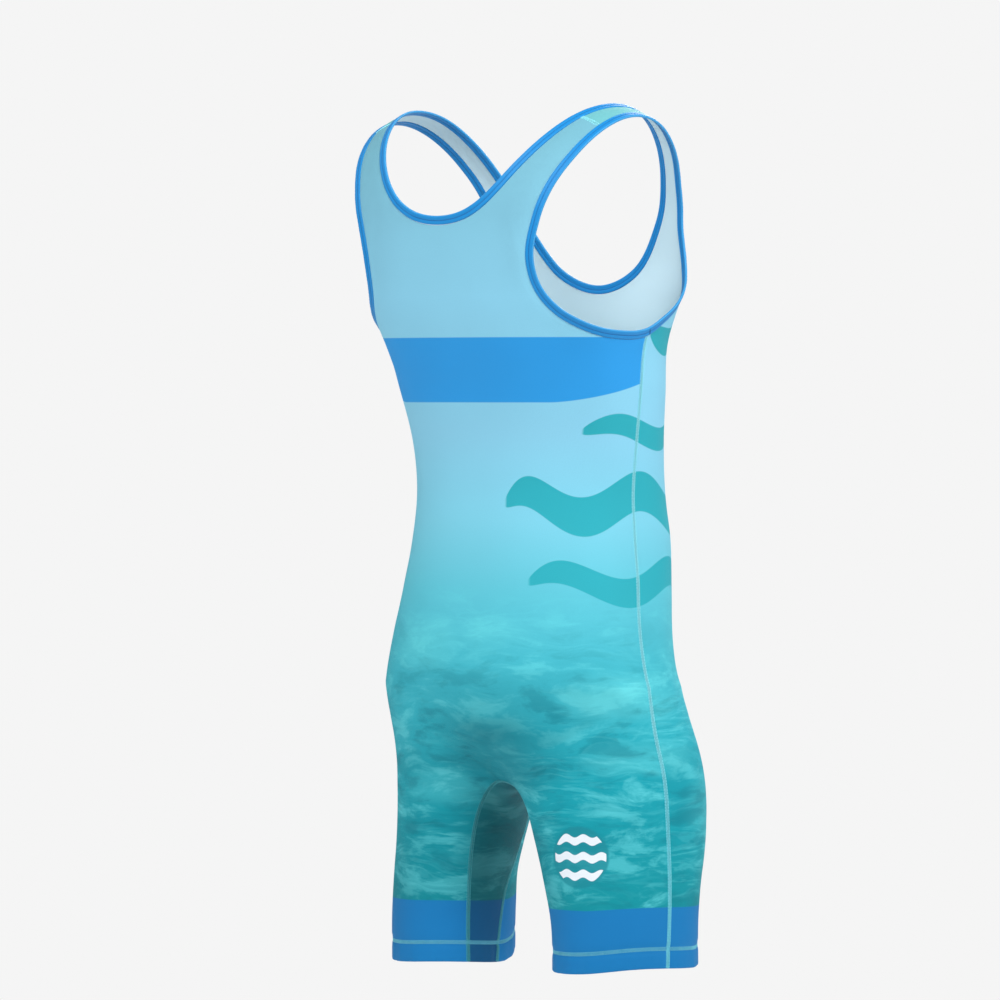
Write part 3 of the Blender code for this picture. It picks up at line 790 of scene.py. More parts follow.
def solid_cloth(name, bm, front, reverse):
    """An object of a sheet with its thickness inwards, and one material outside and one on its reverse."""
    mesh = mesh_of(bm, name, front, reverse)
    piece = add_object(name, mesh)
    wall = piece.modifiers.new("wall", "SOLIDIFY")
    wall.thickness, wall.offset = CLOTH, -1.0
    wall.material_offset = wall.material_offset_rim = 1
    final = evaluated_mesh(piece)
    piece.modifiers.clear()
    piece.data = final
    bpy.data.meshes.remove(mesh)
    final.name = name
    final.shade_smooth()
    final.set_sharp_from_angle(angle=SHARP_FOLD)
    return piece


def finish_piece(piece, node):
    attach(piece, "root")
    if node:
        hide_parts(node)
    triangles = sum(len(face.vertices) - 2 for face in piece.data.polygons)
    print(piece.name, triangles, "triangles")


print("cloth", CLOTH * 1000, "mm thick")

# %% [markdown]
# ## Writing a print with arithmetic
# A printed pattern is easiest to write as arithmetic on the place of each point. Wire wraps a node's output
# so that plus, minus and times between two wires add Math nodes. The rest of the lesson then reads like
# formulas, and each material can still be opened in the shader editor.

# %% Arithmetic on node sockets
SHEEN_ROUGHNESS = 0.45
RIB_SHARE, OTHER_SHARE = 0.7, 0.3
KNIT_BUMP, LOOP_SLANT = 0.8, 0.4


def srgb(code):
    """A colour written as on a screen, turned into the linear values that a shader takes."""
    values = [int(code[k : k + 2], 16) / 255 for k in (1, 3, 5)]
    return tuple(v / 12.92 if v <= 0.04045 else ((v + 0.055) / 1.055) ** 2.4 for v in values) + (1.0,)


class Wire:
    """One output in a material's node tree."""

    def __init__(self, tree, socket):
        self.tree, self.socket = tree, socket

    def maths(self, operation, *others):
        node = self.tree.nodes.new("ShaderNodeMath")
        node.operation = operation
        for slot, value in zip(node.inputs, (self, *others)):
            plug(self.tree, value, slot)
        return Wire(self.tree, node.outputs[0])

    def __add__(self, other):
        return self.maths("ADD", other)

    def __sub__(self, other):
        return self.maths("SUBTRACT", other)

    def __mul__(self, other):
        return self.maths("MULTIPLY", other)

    def __truediv__(self, other):
        return self.maths("DIVIDE", other)

    def ramp(self, start, end, low=0.0, high=1.0):
        """Rises smoothly from low to high as the value goes from start to end."""
        node = self.tree.nodes.new("ShaderNodeMapRange")
        node.interpolation_type = "SMOOTHSTEP"
        plug(self.tree, self, node.inputs["Value"])
        for name, value in (("From Min", start), ("From Max", end), ("To Min", low), ("To Max", high)):
            plug(self.tree, value, node.inputs[name])
        return Wire(self.tree, node.outputs["Result"])


def plug(tree, value, slot):
    """Leads a wire into a socket, or sets the socket to a plain value."""
    if isinstance(value, Wire):
        tree.links.new(value.socket, slot)
    else:
        slot.default_value = value


def new_material(name, roughness, specular, sheen=0.0):
    """A material, with its node tree and its shader."""
    material = bpy.data.materials.new(name)
    material.use_nodes = True
    tree = material.node_tree
    shader = tree.nodes["Principled BSDF"]
    shader.inputs["Roughness"].default_value = roughness
    shader.inputs["Specular IOR Level"].default_value = specular
    shader.inputs["Sheen Weight"].default_value = sheen
    shader.inputs["Sheen Roughness"].default_value = SHEEN_ROUGHNESS
    return material, tree, shader


def places_in(tree):
    """The point's own x, y and z."""
    coordinates = tree.nodes.new("ShaderNodeTexCoord")
    split = tree.nodes.new("ShaderNodeSeparateXYZ")
    tree.links.new(coordinates.outputs["Object"], split.inputs[0])
    return [Wire(tree, split.outputs[k]) for k in range(3)]


def map_in(tree):
    """The cloth's own two directions, in metres."""
    uv = tree.nodes.new("ShaderNodeUVMap")
    uv.uv_map = "cloth"
    split = tree.nodes.new("ShaderNodeSeparateXYZ")
    tree.links.new(uv.outputs["UV"], split.inputs[0])
    return Wire(tree, split.outputs[0]), Wire(tree, split.outputs[1])


def vector(tree, x, y, z):
    node = tree.nodes.new("ShaderNodeCombineXYZ")
    for value, slot in zip((x, y, z), node.inputs):
        plug(tree, value, slot)
    return Wire(tree, node.outputs[0])


def noise(tree, place, detail, roughness=0.55, distortion=0.0):
    node = tree.nodes.new("ShaderNodeTexNoise")
    plug(tree, place, node.inputs["Vector"])
    node.inputs["Scale"].default_value = 1.0
    node.inputs["Detail"].default_value = detail
    node.inputs["Roughness"].default_value = roughness
    node.inputs["Distortion"].default_value = distortion
    return Wire(tree, node.outputs[0])


def colour_mix(tree, amount, first, second):
    """The first colour where the amount is 0, the second where it is 1."""
    node = tree.nodes.new("ShaderNodeMix")
    node.data_type = "RGBA"
    plug(tree, amount, node.inputs[0])
    plug(tree, first, node.inputs[6])
    plug(tree, second, node.inputs[7])
    return Wire(tree, node.outputs[2])


def dimmed(tree, colour, share):
    """A colour times a share."""
    node = tree.nodes.new("ShaderNodeVectorMath")
    node.operation = "SCALE"
    plug(tree, colour, node.inputs[0])
    plug(tree, share, node.inputs["Scale"])
    return Wire(tree, node.outputs[0])


def colour_by_height(tree, height, stops):
    """A colour ramp over heights, from the lowest stop to the highest."""
    low, high = stops[0][0], stops[-1][0]
    node = tree.nodes.new("ShaderNodeValToRGB")
    ramp = node.color_ramp
    while len(ramp.elements) < len(stops):
        ramp.elements.new(0.5)
    for element, (level, code) in zip(ramp.elements, stops):
        element.position = (level - low) / (high - low)
        element.color = srgb(code)
    plug(tree, (height - low) / (high - low), node.inputs[0])
    return Wire(tree, node.outputs[0])


def ridges(value, pitch, wave="SINE"):
    """Round ridges side by side, one in each pitch."""
    return (value * (math.pi / pitch)).maths(wave).maths("ABSOLUTE")


def add_bump(tree, shader, ribs, others, strength, depth):
    """Strong ribs and weaker marks across them, as the bump of a material."""
    bump = tree.nodes.new("ShaderNodeBump")
    bump.inputs["Strength"].default_value = strength
    bump.inputs["Distance"].default_value = depth
    plug(tree, ribs * RIB_SHARE + others * OTHER_SHARE, bump.inputs["Height"])
    tree.links.new(bump.outputs["Normal"], shader.inputs["Normal"])


def knit_bump(tree, shader, across, up, wale=0.0010, course=0.0008, depth=0.00014):
    """Rows of small knitted loops: ribs up the cloth, crossed by courses that slant from rib to rib."""
    slant = ridges(across, wale, "COSINE") * (course * LOOP_SLANT)
    loops = ((up + slant) * (2 * math.pi / course)).maths("SINE")
    add_bump(tree, shader, ridges(across, wale), loops, KNIT_BUMP, depth)


print("sky blue is", [round(v, 3) for v in srgb("#90d2ee")])

# %% [markdown]
# ## The water print
# The cloth is printed before it is sewn: plain sky blue on the upper body, turning into clear turquoise
# water over the seat and thighs. Stretched noise gives the streaks, and their strength grows downwards. The
# legs end in a plain blue band. The back alone has a broad blue band under the armholes, and the right hip
# has loose wave ribbons and a small round wave badge, which are this lesson's own design.

# %% Colours and places of the print
WATER_STOPS = (
    (-0.900, "#068995"),
    (-0.815, "#078f9b"),
    (-0.760, "#0995a3"),
    (-0.700, "#129eae"),
    (-0.640, "#2aacbd"),
    (-0.570, "#43b5c6"),
    (-0.500, "#5cc0d2"),
    (-0.430, "#7acbe1"),
    (-0.340, "#89cde8"),
    (-0.200, "#8bd0eb"),
    (-0.110, "#7dbdd4"),
    (-0.030, "#72afc1"),
)
FRONT_TOP, FRONT_TOP_FADE = "#6cb9bd", (-0.20, -0.04, 0.0, 0.8)
LEG_BAND_TOP, LEG_BAND = -0.8265, "#1377b6"
CHEST_BAND_TOP, CHEST_BAND_FOOT, CHEST_BAND = -0.2415, -0.3080, "#2c9ae2"
CHEST_BAND_LIFT, CHEST_BAND_FLAT, CHEST_BAND_POWER = 0.0186, 0.65, 1.6
# The dark colour serves the print's dark water and the painted shade under the seat.
WATER_LIGHT, DARK_WATER_AND_SHADE = "#66d6df", "#027080"
LIGHT_SHARE, DARK_SHARE = 0.70, 0.58
EDGE = 0.0005
Ribbon = namedtuple("Ribbon", "height swing half_width start end shift")
RIBBONS = (
    Ribbon(-0.236, 0.010, 0.0150, -0.03, -1.15, 0.3),
    Ribbon(-0.338, 0.008, 0.0120, 0.42, -1.30, 0.4),
    Ribbon(-0.412, 0.013, 0.0205, 1.10, -1.45, 2.1),
    Ribbon(-0.492, 0.011, 0.0150, 0.84, -1.60, 3.9),
)
RIBBON_COLOUR = "#2ba8b7"
RIBBON_GIRTH, RIBBON_WAVE = 0.125, 0.118
Patch = namedtuple("Patch", "turn height reach rise amount")
LIGHT_PATCHES = (
    Patch(2.03, -0.556, 0.55, 0.034, 0.45),
    Patch(1.25, -0.545, 0.50, 0.024, 0.30),
    Patch(0.20, -0.612, 0.50, 0.030, 0.60),
    Patch(0.10, -0.672, 0.45, 0.022, 0.45),
    Patch(2.25, -0.706, 0.45, 0.024, 0.35),
    Patch(-0.42, -0.722, 0.34, 0.052, 0.40),
    Patch(-1.30, -0.600, 0.60, 0.032, 0.40),
    Patch(-2.20, -0.650, 0.50, 0.026, 0.45),
)
DEEP_AND_SHADE_PATCHES = (
    # The first deep patch, broad and under the seat near the middle of the back, is painted shade.
    Patch(1.30, -0.676, 0.95, 0.060, 1.00),
    Patch(2.45, -0.810, 0.60, 0.090, 0.45),
    Patch(0.80, -0.790, 0.35, 0.080, 0.45),
    Patch(-1.75, -0.690, 0.80, 0.045, 0.60),
)
BADGE = Place(-0.126, 0.056, -0.772)
BADGE_WHITE, BADGE_DEEP = "#e4ecf4", "#178593"
BADGE_RADIUS, BADGE_PITCH = 0.0290, 0.0180
BADGE_RIM, BADGE_RIM_EDGE, BADGE_GROUND = 0.0010, 0.0040, 0.8
BADGE_SWELL, BADGE_SWELL_TURNS = 0.0018, 330.0
print(len(WATER_STOPS), "colours from hem to shoulder")

# %% [markdown]
# ## Streaks and foam
# Printed water is light and dark patches, longer across than they are high. Noise that is squeezed in height
# gives them, a slow swell bends them, and soft ovals lighten or deepen whole places.
# The broad dark oval under the seat is painted shade, not printed water.

# %% Water
Streaks = namedtuple("Streaks", "across up detail roughness distortion shift_x shift_y")
SWELL = Streaks(8, 16, 2.0, 0.55, 0.0, 1.0, 0.0)
BROAD = Streaks(6, 15, 3.0, 0.55, 0.4, 1.0, 0.0)
FOAM = Streaks(13, 40, 6.0, 0.62, 0.3, 0.0, 1.0)
WAVES = Streaks(10, 62, 4.0, 0.58, 0.8, 0.0, 1.0)
FINE = Streaks(17, 150, 4.0, 0.60, 0.5, 1.0, 0.0)
SWELL_HEIGHT = 0.036
LIGHT_FADE, DARK_FADE = (-0.44, -0.60), (-0.48, -0.66)


def streaks(tree, x, y, level, kind, seed):
    """Noise that is finer upwards than across, moved sideways by the seed."""
    across_x, across_y = x * kind.across + seed * kind.shift_x, y * kind.across + seed * kind.shift_y
    place = vector(tree, across_x, across_y, level * kind.up)
    return noise(tree, place, kind.detail, kind.roughness, kind.distortion)


def turn_round(x, y):
    """The angle round the body: 0 at the wearer's right, a quarter turn at the middle of the back."""
    return y.maths("ARCTAN2", x * -1.0)


def water(tree, x, y, z, seed):
    """The water's two patterns: where it is lighter, and where it is darker, with painted shade under the
    seat.
    """
    level = z + (streaks(tree, x, y, z, SWELL, seed) - 0.5) * SWELL_HEIGHT
    kinds = (BROAD, FOAM, WAVES, FINE)
    broad, foam, waves, fine = (streaks(tree, x, y, level, kind, seed) for kind in kinds)
    crest = (waves - 0.5).maths("ABSOLUTE").ramp(0.060, 0.004)
    patches = broad.ramp(0.42, 0.62)
    turn = turn_round(x, y)
    lighter = crest * 0.30 * patches + fine.ramp(0.52, 0.72) * 0.25 + foam.ramp(0.50, 0.62) * 0.60
    darker = broad.ramp(0.50, 0.34) * 0.35 + foam.ramp(0.48, 0.36) * 0.60 + waves.ramp(0.46, 0.30) * 0.20
    lighter = lighter * z.ramp(*LIGHT_FADE) + patches_of(LIGHT_PATCHES, turn, level)
    # The deep patches include the painted shade under the seat.
    darker = darker * z.ramp(*DARK_FADE) + patches_of(DEEP_AND_SHADE_PATCHES, turn, level)
    return lighter, darker


def patches_of(table, turn, level):
    """Soft patches laid round the body, each a blurred oval."""
    total = None
    for row in table:
        across, upwards = (turn - row.turn) / row.reach, (level - row.height) / row.rise
        patch = (across * across + upwards * upwards).ramp(1.0, 0.0, 0.0, row.amount)
        total = patch if total is None else total.maths("MAXIMUM", patch)
    return total


print("light patches", len(LIGHT_PATCHES), "deep patches", len(DEEP_AND_SHADE_PATCHES))

# %% [markdown]
# ## Ribbons and a badge
# Ribbons follow a sine wave round the hip and narrow to a rounded tip. The badge is drawn in the tangent
# plane of the thigh, so that it stays round on the curved leg.

# %% Ribbons and badge
def badge_place():
    """The badge's middle on the cloth, with its own right and up directions there."""
    middle = onto_figure(np.array([BADGE], dtype=float))
    normal = outward(middle)[0]
    right = np.cross(normal, (0, 0, 1))
    right /= np.linalg.norm(right)
    return middle[0], right, np.cross(right, normal)


def add_ribbons(tree, colour, x, y, z):
    """Loose wave ribbons round the right hip, across the side seam."""
    turn = turn_round(x, y)
    along = turn * RIBBON_GIRTH
    mask = None
    for row in RIBBONS:
        crest = (along * (2 * math.pi / RIBBON_WAVE) + row.shift).maths("SINE") * row.swing + row.height
        middle, reach = (row.start + row.end) / 2, (row.start - row.end) / 2
        share = ((turn - middle) / reach).maths("ABSOLUTE").maths("MINIMUM", 1.0)
        width = (share.maths("POWER", 4.0) * -1.0 + 1.0).maths("SQRT") * row.half_width
        near = width - (z - crest).maths("ABSOLUTE")
        ribbon = near.ramp(-EDGE, EDGE) * share.ramp(0.999, 0.97)
        mask = ribbon if mask is None else mask.maths("MAXIMUM", ribbon)
    return colour_mix(tree, mask, colour, srgb(RIBBON_COLOUR))


def add_badge(tree, colour, x, y, z):
    """A small badge of three pale wave bars on a deeper ground, as wide as a circle is at each bar."""
    middle, right, up = badge_place()
    off_x, off_y, off_z = (wire - float(value) for wire, value in zip((x, y, z), middle))
    across, upwards = (
        off_x * float(way[0]) + off_y * float(way[1]) + off_z * float(way[2]) for way in (right, up)
    )
    radius = (across * across + upwards * upwards).maths("SQRT")
    on_this_leg = x.ramp(-0.05, -0.06) * y.ramp(0.0, 0.01)
    ground = radius.ramp(BADGE_RADIUS + BADGE_RIM_EDGE, BADGE_RADIUS + BADGE_RIM) * on_this_leg
    swell = (across * BADGE_SWELL_TURNS).maths("SINE") * BADGE_SWELL
    bars = ((upwards + swell) * (2 * math.pi / BADGE_PITCH)).maths("COSINE").ramp(0.05, 0.25)
    bars = bars * radius.ramp(BADGE_RADIUS, BADGE_RADIUS - EDGE) * on_this_leg
    colour = colour_mix(tree, ground * BADGE_GROUND, colour, srgb(BADGE_DEEP))
    return colour_mix(tree, bars, colour, srgb(BADGE_WHITE))


print("badge at", [round(float(v), 3) for v in badge_place()[0]])

# %% [markdown]
# ## The printed knit
# Each piece of cloth gets one material: the colours by height, the water, the motifs and the plain bands on
# top, a fine grain, and the bump of the knit. The reverse of printed knit is nearly white.

# %% Cloth materials
GRAIN_SCALE, GRAIN_LOW = 900, 0.965
REVERSE_WATER_AND_SHADE, REVERSE_SHARE, REVERSE_SEED = "#9ccfd4", 0.20, 3.0
REVERSE_STOPS = (
    (-0.900, "#a9cfe4"),
    (-0.830, "#a9cfe4"),
    (-0.822, "#b0d6d8"),
    (-0.600, "#bfe0e4"),
    (-0.400, "#cfe8f0"),
    (0.000, "#d3eaf3"),
)


def print_material(name, seed, back=False, ribbons=False, depth=1.0):
    """Printed knit. A depth below 1 dims the whole piece as painted shade, for a piece in shade between the
    legs.
    """
    material, tree, shader = new_material(name, roughness=0.60, specular=0.14, sheen=0.03)
    x, y, z = places_in(tree)
    across, up = map_in(tree)
    low = up.maths("MINIMUM", z)
    colour = colour_by_height(tree, low, WATER_STOPS)
    if not back:
        colour = colour_mix(tree, z.ramp(*FRONT_TOP_FADE), colour, srgb(FRONT_TOP))
    lighter, darker = water(tree, x, y, z, seed)
    colour = colour_mix(tree, lighter * LIGHT_SHARE, colour, srgb(WATER_LIGHT))
    # The darker mix also lays the painted shade under the seat.
    colour = colour_mix(tree, darker * DARK_SHARE, colour, srgb(DARK_WATER_AND_SHADE))
    if ribbons:
        colour = add_ribbons(tree, colour, x, y, z)
    if back:
        turn = y.maths("ARCTAN2", x.maths("ABSOLUTE"))
        beyond = (turn / -CHEST_BAND_FLAT + 1.0).maths("MAXIMUM", 0.0)
        foot = beyond.maths("POWER", CHEST_BAND_POWER) * CHEST_BAND_LIFT + CHEST_BAND_FOOT
        band = (low - foot).ramp(-EDGE, EDGE) * (low - CHEST_BAND_TOP).ramp(EDGE, -EDGE)
        colour = colour_mix(tree, band, colour, srgb(CHEST_BAND))
        colour = add_badge(tree, colour, x, y, z)
    legs = low.ramp(LEG_BAND_TOP + EDGE, LEG_BAND_TOP - EDGE)
    colour = colour_mix(tree, legs, colour, srgb(LEG_BAND))
    grain = noise(tree, vector(tree, across * GRAIN_SCALE, up * GRAIN_SCALE, 0.0), 2.0)
    # A depth below 1 dims the grain's whole range: painted shade over the piece.
    grain = grain.ramp(0.35, 0.65, GRAIN_LOW * depth, depth)
    plug(tree, dimmed(tree, colour, grain), shader.inputs["Base Color"])
    knit_bump(tree, shader, across, up)
    return material


def reverse_material():
    """The unprinted side: nearly white knit, with the print showing through faintly."""
    material, tree, shader = new_material("knit_reverse", roughness=0.75, specular=0.15, sheen=0.10)
    x, y, z = places_in(tree)
    across, up = map_in(tree)
    colour = colour_by_height(tree, z, REVERSE_STOPS)
    _, darker = water(tree, x, y, z, REVERSE_SEED)
    # Faintly here too: the darker pattern holds the painted shade under the seat.
    colour = colour_mix(tree, darker * REVERSE_SHARE, colour, srgb(REVERSE_WATER_AND_SHADE))
    plug(tree, colour, shader.inputs["Base Color"])
    knit_bump(tree, shader, across, up, wale=0.0008, course=0.0010, depth=0.00008)
    return material


back_print = print_material("back_print", 0.0, back=True, ribbons=True)
front_print = print_material("front_print", 7.3, ribbons=True)
# The gusset is dimmed to 0.45 as painted shade between the legs.
shaded_gusset_print = print_material("shaded_gusset_print", 13.1, depth=0.45)
knit_reverse = reverse_material()
print("prints:", back_print.name, front_print.name, shaded_gusset_print.name)

# %% [markdown]
# ## The panels
# Back and front are each cut as one piece. The left half is laid out and its mirror image gets its own
# creases. Both halves are welded along the middle, where their grids meet at the same points. The gusset
# below is made in the same way.

# %% Back and front
WELD = 1e-6


def two_halves(name, half, print_side, flip_left, from_middle):
    """Cloth of a left half and its mirror image, with the knit counted from the middle or from one seam."""
    bm = bmesh.new()
    uv_layer = bm.loops.layers.uv.new("cloth")
    for side_name, turn in SIDES:
        laid = with_turned_hem(half * turn)
        cloth_uv = cloth_map(laid, turn[0], np.abs(laid[:, :1, 0])) if from_middle else cloth_map(laid)
        add_grid(bm, uv_layer, laid, cloth_uv, flip=flip_left == (side_name == "left"))
    middle = [vertex for vertex in bm.verts if abs(vertex.co.x) < WELD]
    bmesh.ops.remove_doubles(bm, verts=middle, dist=WELD)
    return solid_cloth(name, bm, print_side, knit_reverse)


back = two_halves("back_cloth", half_panel(1, seams), back_print, flip_left=True, from_middle=True)
finish_piece(back, "back_panel")
front = two_halves("front_cloth", half_panel(-1, seams), front_print, flip_left=False, from_middle=True)
finish_piece(front, "front_panel")

# %% [markdown]
# ## The gusset
# One strip runs up the inside of one leg, over the crotch and down the inside of the other. It lets the
# legs spread without pulling at the seam. It has a turned hem at both of its ends.

# %% Inner leg gusset
GUSSET_COLUMNS = 22


def half_gusset():
    """Grid of points for the gusset of the left leg, from its back seam to its front seam."""
    half_gap = SEAM_GAP / 2
    back = beside(seams["gusset_back"], -half_gap, UP_TO_MIDDLE)
    front = beside(seams["gusset_front"], half_gap, UP_TO_MIDDLE)
    fractions = np.linspace(0, 1, GUSSET_COLUMNS + 1)[None, :, None]
    grid = onto_figure(back[:, None] * (1 - fractions) + front[:, None] * fractions)
    grid[:, 0], grid[:, -1] = back, front
    return grid


gusset = two_halves("gusset_cloth", half_gusset(), shaded_gusset_print, flip_left=False, from_middle=False)
finish_piece(gusset, "inner_leg_gusset")

# %% [markdown]
# ## Tape round the openings
# Neck and armholes are edged with a tape folded over the raw edge and sewn through. Its section is a flat
# hairpin: a soft roll at the opening, a groove where the stitches sink in, and a thin edge at the seam. The
# section follows the seam line, and the ring is closed where it began.

# %% Tape
Corner = namedtuple("Corner", "across rise")
GROOVE_ACROSS, GROOVE_DEPTH = 0.46, 0.00030
# The second tape colour is a painted highlight on the fold at the opening.
# The third tape colour is painted shade in the groove where the stitches sink in.
TAPE_BLUE, TAPE_HIGHLIGHT_BLUE, TAPE_GROOVE_SHADE_BLUE = "#0f86cc", "#5cb6e2", "#0766aa"
TAPE_RIB, TAPE_YARN, TAPE_BUMP, TAPE_BUMP_DEPTH = 0.0007, 0.0004, 0.5, 0.00005
OUTER_FACE = (
    Corner(0.00, 0.00005),
    Corner(0.01, 0.00040),
    Corner(0.05, 0.00062),
    Corner(0.20, 0.00072),
    Corner(0.36, 0.00068),
    Corner(GROOVE_ACROSS - 0.04, 0.00050),
    Corner(GROOVE_ACROSS, 0.00072 - GROOVE_DEPTH),
    Corner(GROOVE_ACROSS + 0.04, 0.00052),
    Corner(0.60, 0.00078),
    Corner(0.80, 0.00088),
    Corner(0.92, 0.00080),
    Corner(0.98, 0.00045),
)


def tape_section():
    """The outer face, then the inner face as its mirror image through the middle of the cloth."""
    inner = [Corner(corner.across, -CLOTH - corner.rise) for corner in reversed(OUTER_FACE)]
    nose = [Corner(1.0, 0.0), Corner(1.0, -CLOTH)]
    return [*OUTER_FACE, *nose, *inner]


def tape_material():
    """Woven tape with fine ribs, a painted highlight on its fold at the opening and painted shade in its
    groove.
    """
    material, tree, shader = new_material("binding_tape", roughness=0.50, specular=0.30, sheen=0.08)
    along, across = map_in(tree)
    edge_highlight = across.ramp(0.0082, 0.0092)
    groove_shade = (across - GROOVE_ACROSS * BINDING_WIDTH).maths("ABSOLUTE").ramp(0.0008, 0.0002)
    # The fold at the opening is painted paler: a painted highlight.
    colour = colour_mix(tree, edge_highlight * 0.35, srgb(TAPE_BLUE), srgb(TAPE_HIGHLIGHT_BLUE))
    # The groove is painted darker: painted shade in a recess.
    colour = colour_mix(tree, groove_shade * 0.75, colour, srgb(TAPE_GROOVE_SHADE_BLUE))
    plug(tree, colour, shader.inputs["Base Color"])
    ribs, yarns = ridges(along, TAPE_RIB), ridges(across, TAPE_YARN)
    add_bump(tree, shader, ribs, yarns, TAPE_BUMP, TAPE_BUMP_DEPTH)
    return material


def round_line(line):
    """Directions along a closed line of points."""
    along = np.roll(line, -1, axis=0) - np.roll(line, 1, axis=0)
    return along / np.linalg.norm(along, axis=1, keepdims=True)


binding_tape = tape_material()
print("tape section has", len(tape_section()), "corners")

# %% [markdown]
# ## Closing the rings
# A sewn tape puckers a little between its stitches. Each corner of the section becomes one ring of points on
# the figure, lifted by its rise with a small ripple, and the rings are joined into a closed tube.

# %% Tape rings
TAPE_STEP = 0.0024
PUCKER, PUCKER_PITCH = 0.10, 0.0052
SMALL_PUCKER, SMALL_PUCKER_TURNS = 0.06, 347
SHARP_TAPE = math.radians(60)
Tape = namedtuple("Tape", "opening node line to_opening")


def tape_ring(tape):
    """One closed tube of tape along its seam line. Its sign to_opening says on which side the opening is."""
    seam_line = tape.line
    length = lengths_along(np.concatenate([seam_line, seam_line[:1]]))
    sideways = tape.to_opening * np.cross(outward(seam_line), round_line(seam_line))
    pucker = 1 + PUCKER * np.sin(length[:-1] * 2 * math.pi / PUCKER_PITCH)
    pucker = pucker + SMALL_PUCKER * np.sin(length[:-1] * SMALL_PUCKER_TURNS)
    grid, cloth_uv = [], []
    for corner in tape_section():
        distance = SEAM_GAP / 2 + corner.across * (BINDING_WIDTH - SEAM_GAP / 2)
        places = onto_figure(seam_line + sideways * distance)
        rise = corner.rise * (pucker if corner.rise > 0 else 1.0)
        ring = places + outward(places) * (relief(places) + rise)[:, None]
        grid.append(np.concatenate([ring, ring[:1]]))
        cloth_uv.append(np.stack([length, np.full(len(length), distance)], axis=1))
    grid, cloth_uv = np.array(grid + grid[:1]), np.array(cloth_uv + cloth_uv[:1])
    bm = bmesh.new()
    uv_layer = bm.loops.layers.uv.new("cloth")
    add_grid(bm, uv_layer, grid, cloth_uv, flip=False)
    bmesh.ops.remove_doubles(bm, verts=bm.verts, dist=WELD)
    bmesh.ops.recalc_face_normals(bm, faces=bm.faces)
    name = tape.opening + "_tape"
    mesh = mesh_of(bm, name, binding_tape)
    mesh.shade_smooth()
    mesh.set_sharp_from_angle(angle=SHARP_TAPE)
    finish_piece(add_object(name, mesh), tape.node)


def closed_evenly(line):
    """A closed line as evenly spaced points, its last point left out."""
    whole = np.concatenate([line, line[:1]])
    count = round(lengths_along(whole)[-1] / TAPE_STEP)
    return evenly(whole, count + 1)[:-1]


def neck_line():
    """The neck seam, all the way round from the middle of the back."""
    half = np.concatenate([seams["neck_back"], seams["neck_front"][-2::-1]])
    return closed_evenly(np.concatenate([half, half[-2:0:-1] * MIRROR]))


def armhole_line(turn):
    """An armhole seam, all the way round from the side seam."""
    line = np.concatenate([seams["armhole_back"], seams["armhole_front"][-2:0:-1]])
    return closed_evenly(line * turn)


TAPES = [Tape("neck", "neck_binding", neck_line(), -1)]
for side_name, turn in SIDES:
    TAPES.append(Tape("armhole_" + side_name, "armhole_binding_" + side_name, armhole_line(turn), turn[0]))
for tape in TAPES:
    tape_ring(tape)

# %% [markdown]
# ## Threads
# A flat seam like this is sewn with several threads at once: slanted cover threads lie across the join and
# hold both edges down flat, between two straight rows. From a step away it reads as one pale, slightly
# raised line. Every thread here is a short curve with a round bevel, made into one mesh for each seam.

# %% Thread tools
THREAD = 0.00026
COVER_PITCH, COVER_SLANT = 0.0009, 1.1
STITCH, STITCH_GAP = 0.0024, 0.0006
OUTSIDE, INSIDE = 0.00026, -CLOTH - 0.00026
TWIST_SCALE = 2500
TO_LOW_COLOUR = (-0.62, -0.76)


def thread_material(name, code, low_code=None):
    """Thread of one colour, which may turn into another one from the seat down to the thighs."""
    material, tree, shader = new_material(name, roughness=0.45, specular=0.35, sheen=0.10)
    x, y, z = places_in(tree)
    place = vector(tree, *(wire * TWIST_SCALE for wire in (x, y, z)))
    twist = noise(tree, place, 1.0).ramp(0.3, 0.7, 0.80, 1.0)
    colour = colour_mix(tree, z.ramp(*TO_LOW_COLOUR), srgb(code), srgb(low_code or code))
    plug(tree, dimmed(tree, colour, twist), shader.inputs["Base Color"])
    return material


def threads(name, paths, material, radius=THREAD):
    """Short threads along lists of points, as one mesh of thin round tubes."""
    curve = bpy.data.curves.new(name, "CURVE")
    curve.dimensions, curve.bevel_depth, curve.bevel_resolution = "3D", radius, 1
    curve.use_fill_caps = True
    for path in paths:
        spline = curve.splines.new("POLY")
        spline.points.add(len(path) - 1)
        spline.points.foreach_set("co", np.hstack([path, np.ones((len(path), 1))]).ravel())
    holder = add_object(name + "_curve", curve)
    mesh = evaluated_mesh(holder)
    bpy.data.objects.remove(holder)
    bpy.data.curves.remove(curve)
    mesh.name = name
    mesh.materials.clear()
    mesh.materials.append(material)
    mesh.shade_smooth()
    finish_piece(add_object(name, mesh), None)


def cover_paths(line, width, lift, ends):
    """Slanted threads across a seam: low at their two ends, highest in the middle."""
    count = max(4, round(lengths_along(line)[-1] / COVER_PITCH))
    stations = onto_figure(evenly(line, count))
    along, sideways = frame_of(stations, ends)
    shares = (-0.5, -0.25, 0.25, 0.5)
    rises = (0.0, lift, lift, 0.0)
    rows = []
    for share, rise in zip(shares, rises):
        slanted = sideways * width * share + along * COVER_PITCH * COVER_SLANT * share
        rows.append(skin(onto_figure(stations + slanted), rise))
    return list(np.stack(rows, axis=1))


def stitch_paths(line, shift, lift, ends, stitch=STITCH):
    """Straight stitches in a row beside a line, with a small gap between them."""
    count = max(3, round(lengths_along(line)[-1] / (stitch + STITCH_GAP)))
    stations = onto_figure(evenly(line, 3 * count + 1))
    _, sideways = frame_of(stations, ends)
    laid = skin(onto_figure(stations + sideways * shift), lift)
    return [laid[k : k + 3] for k in range(0, 3 * count - 2, 3)]


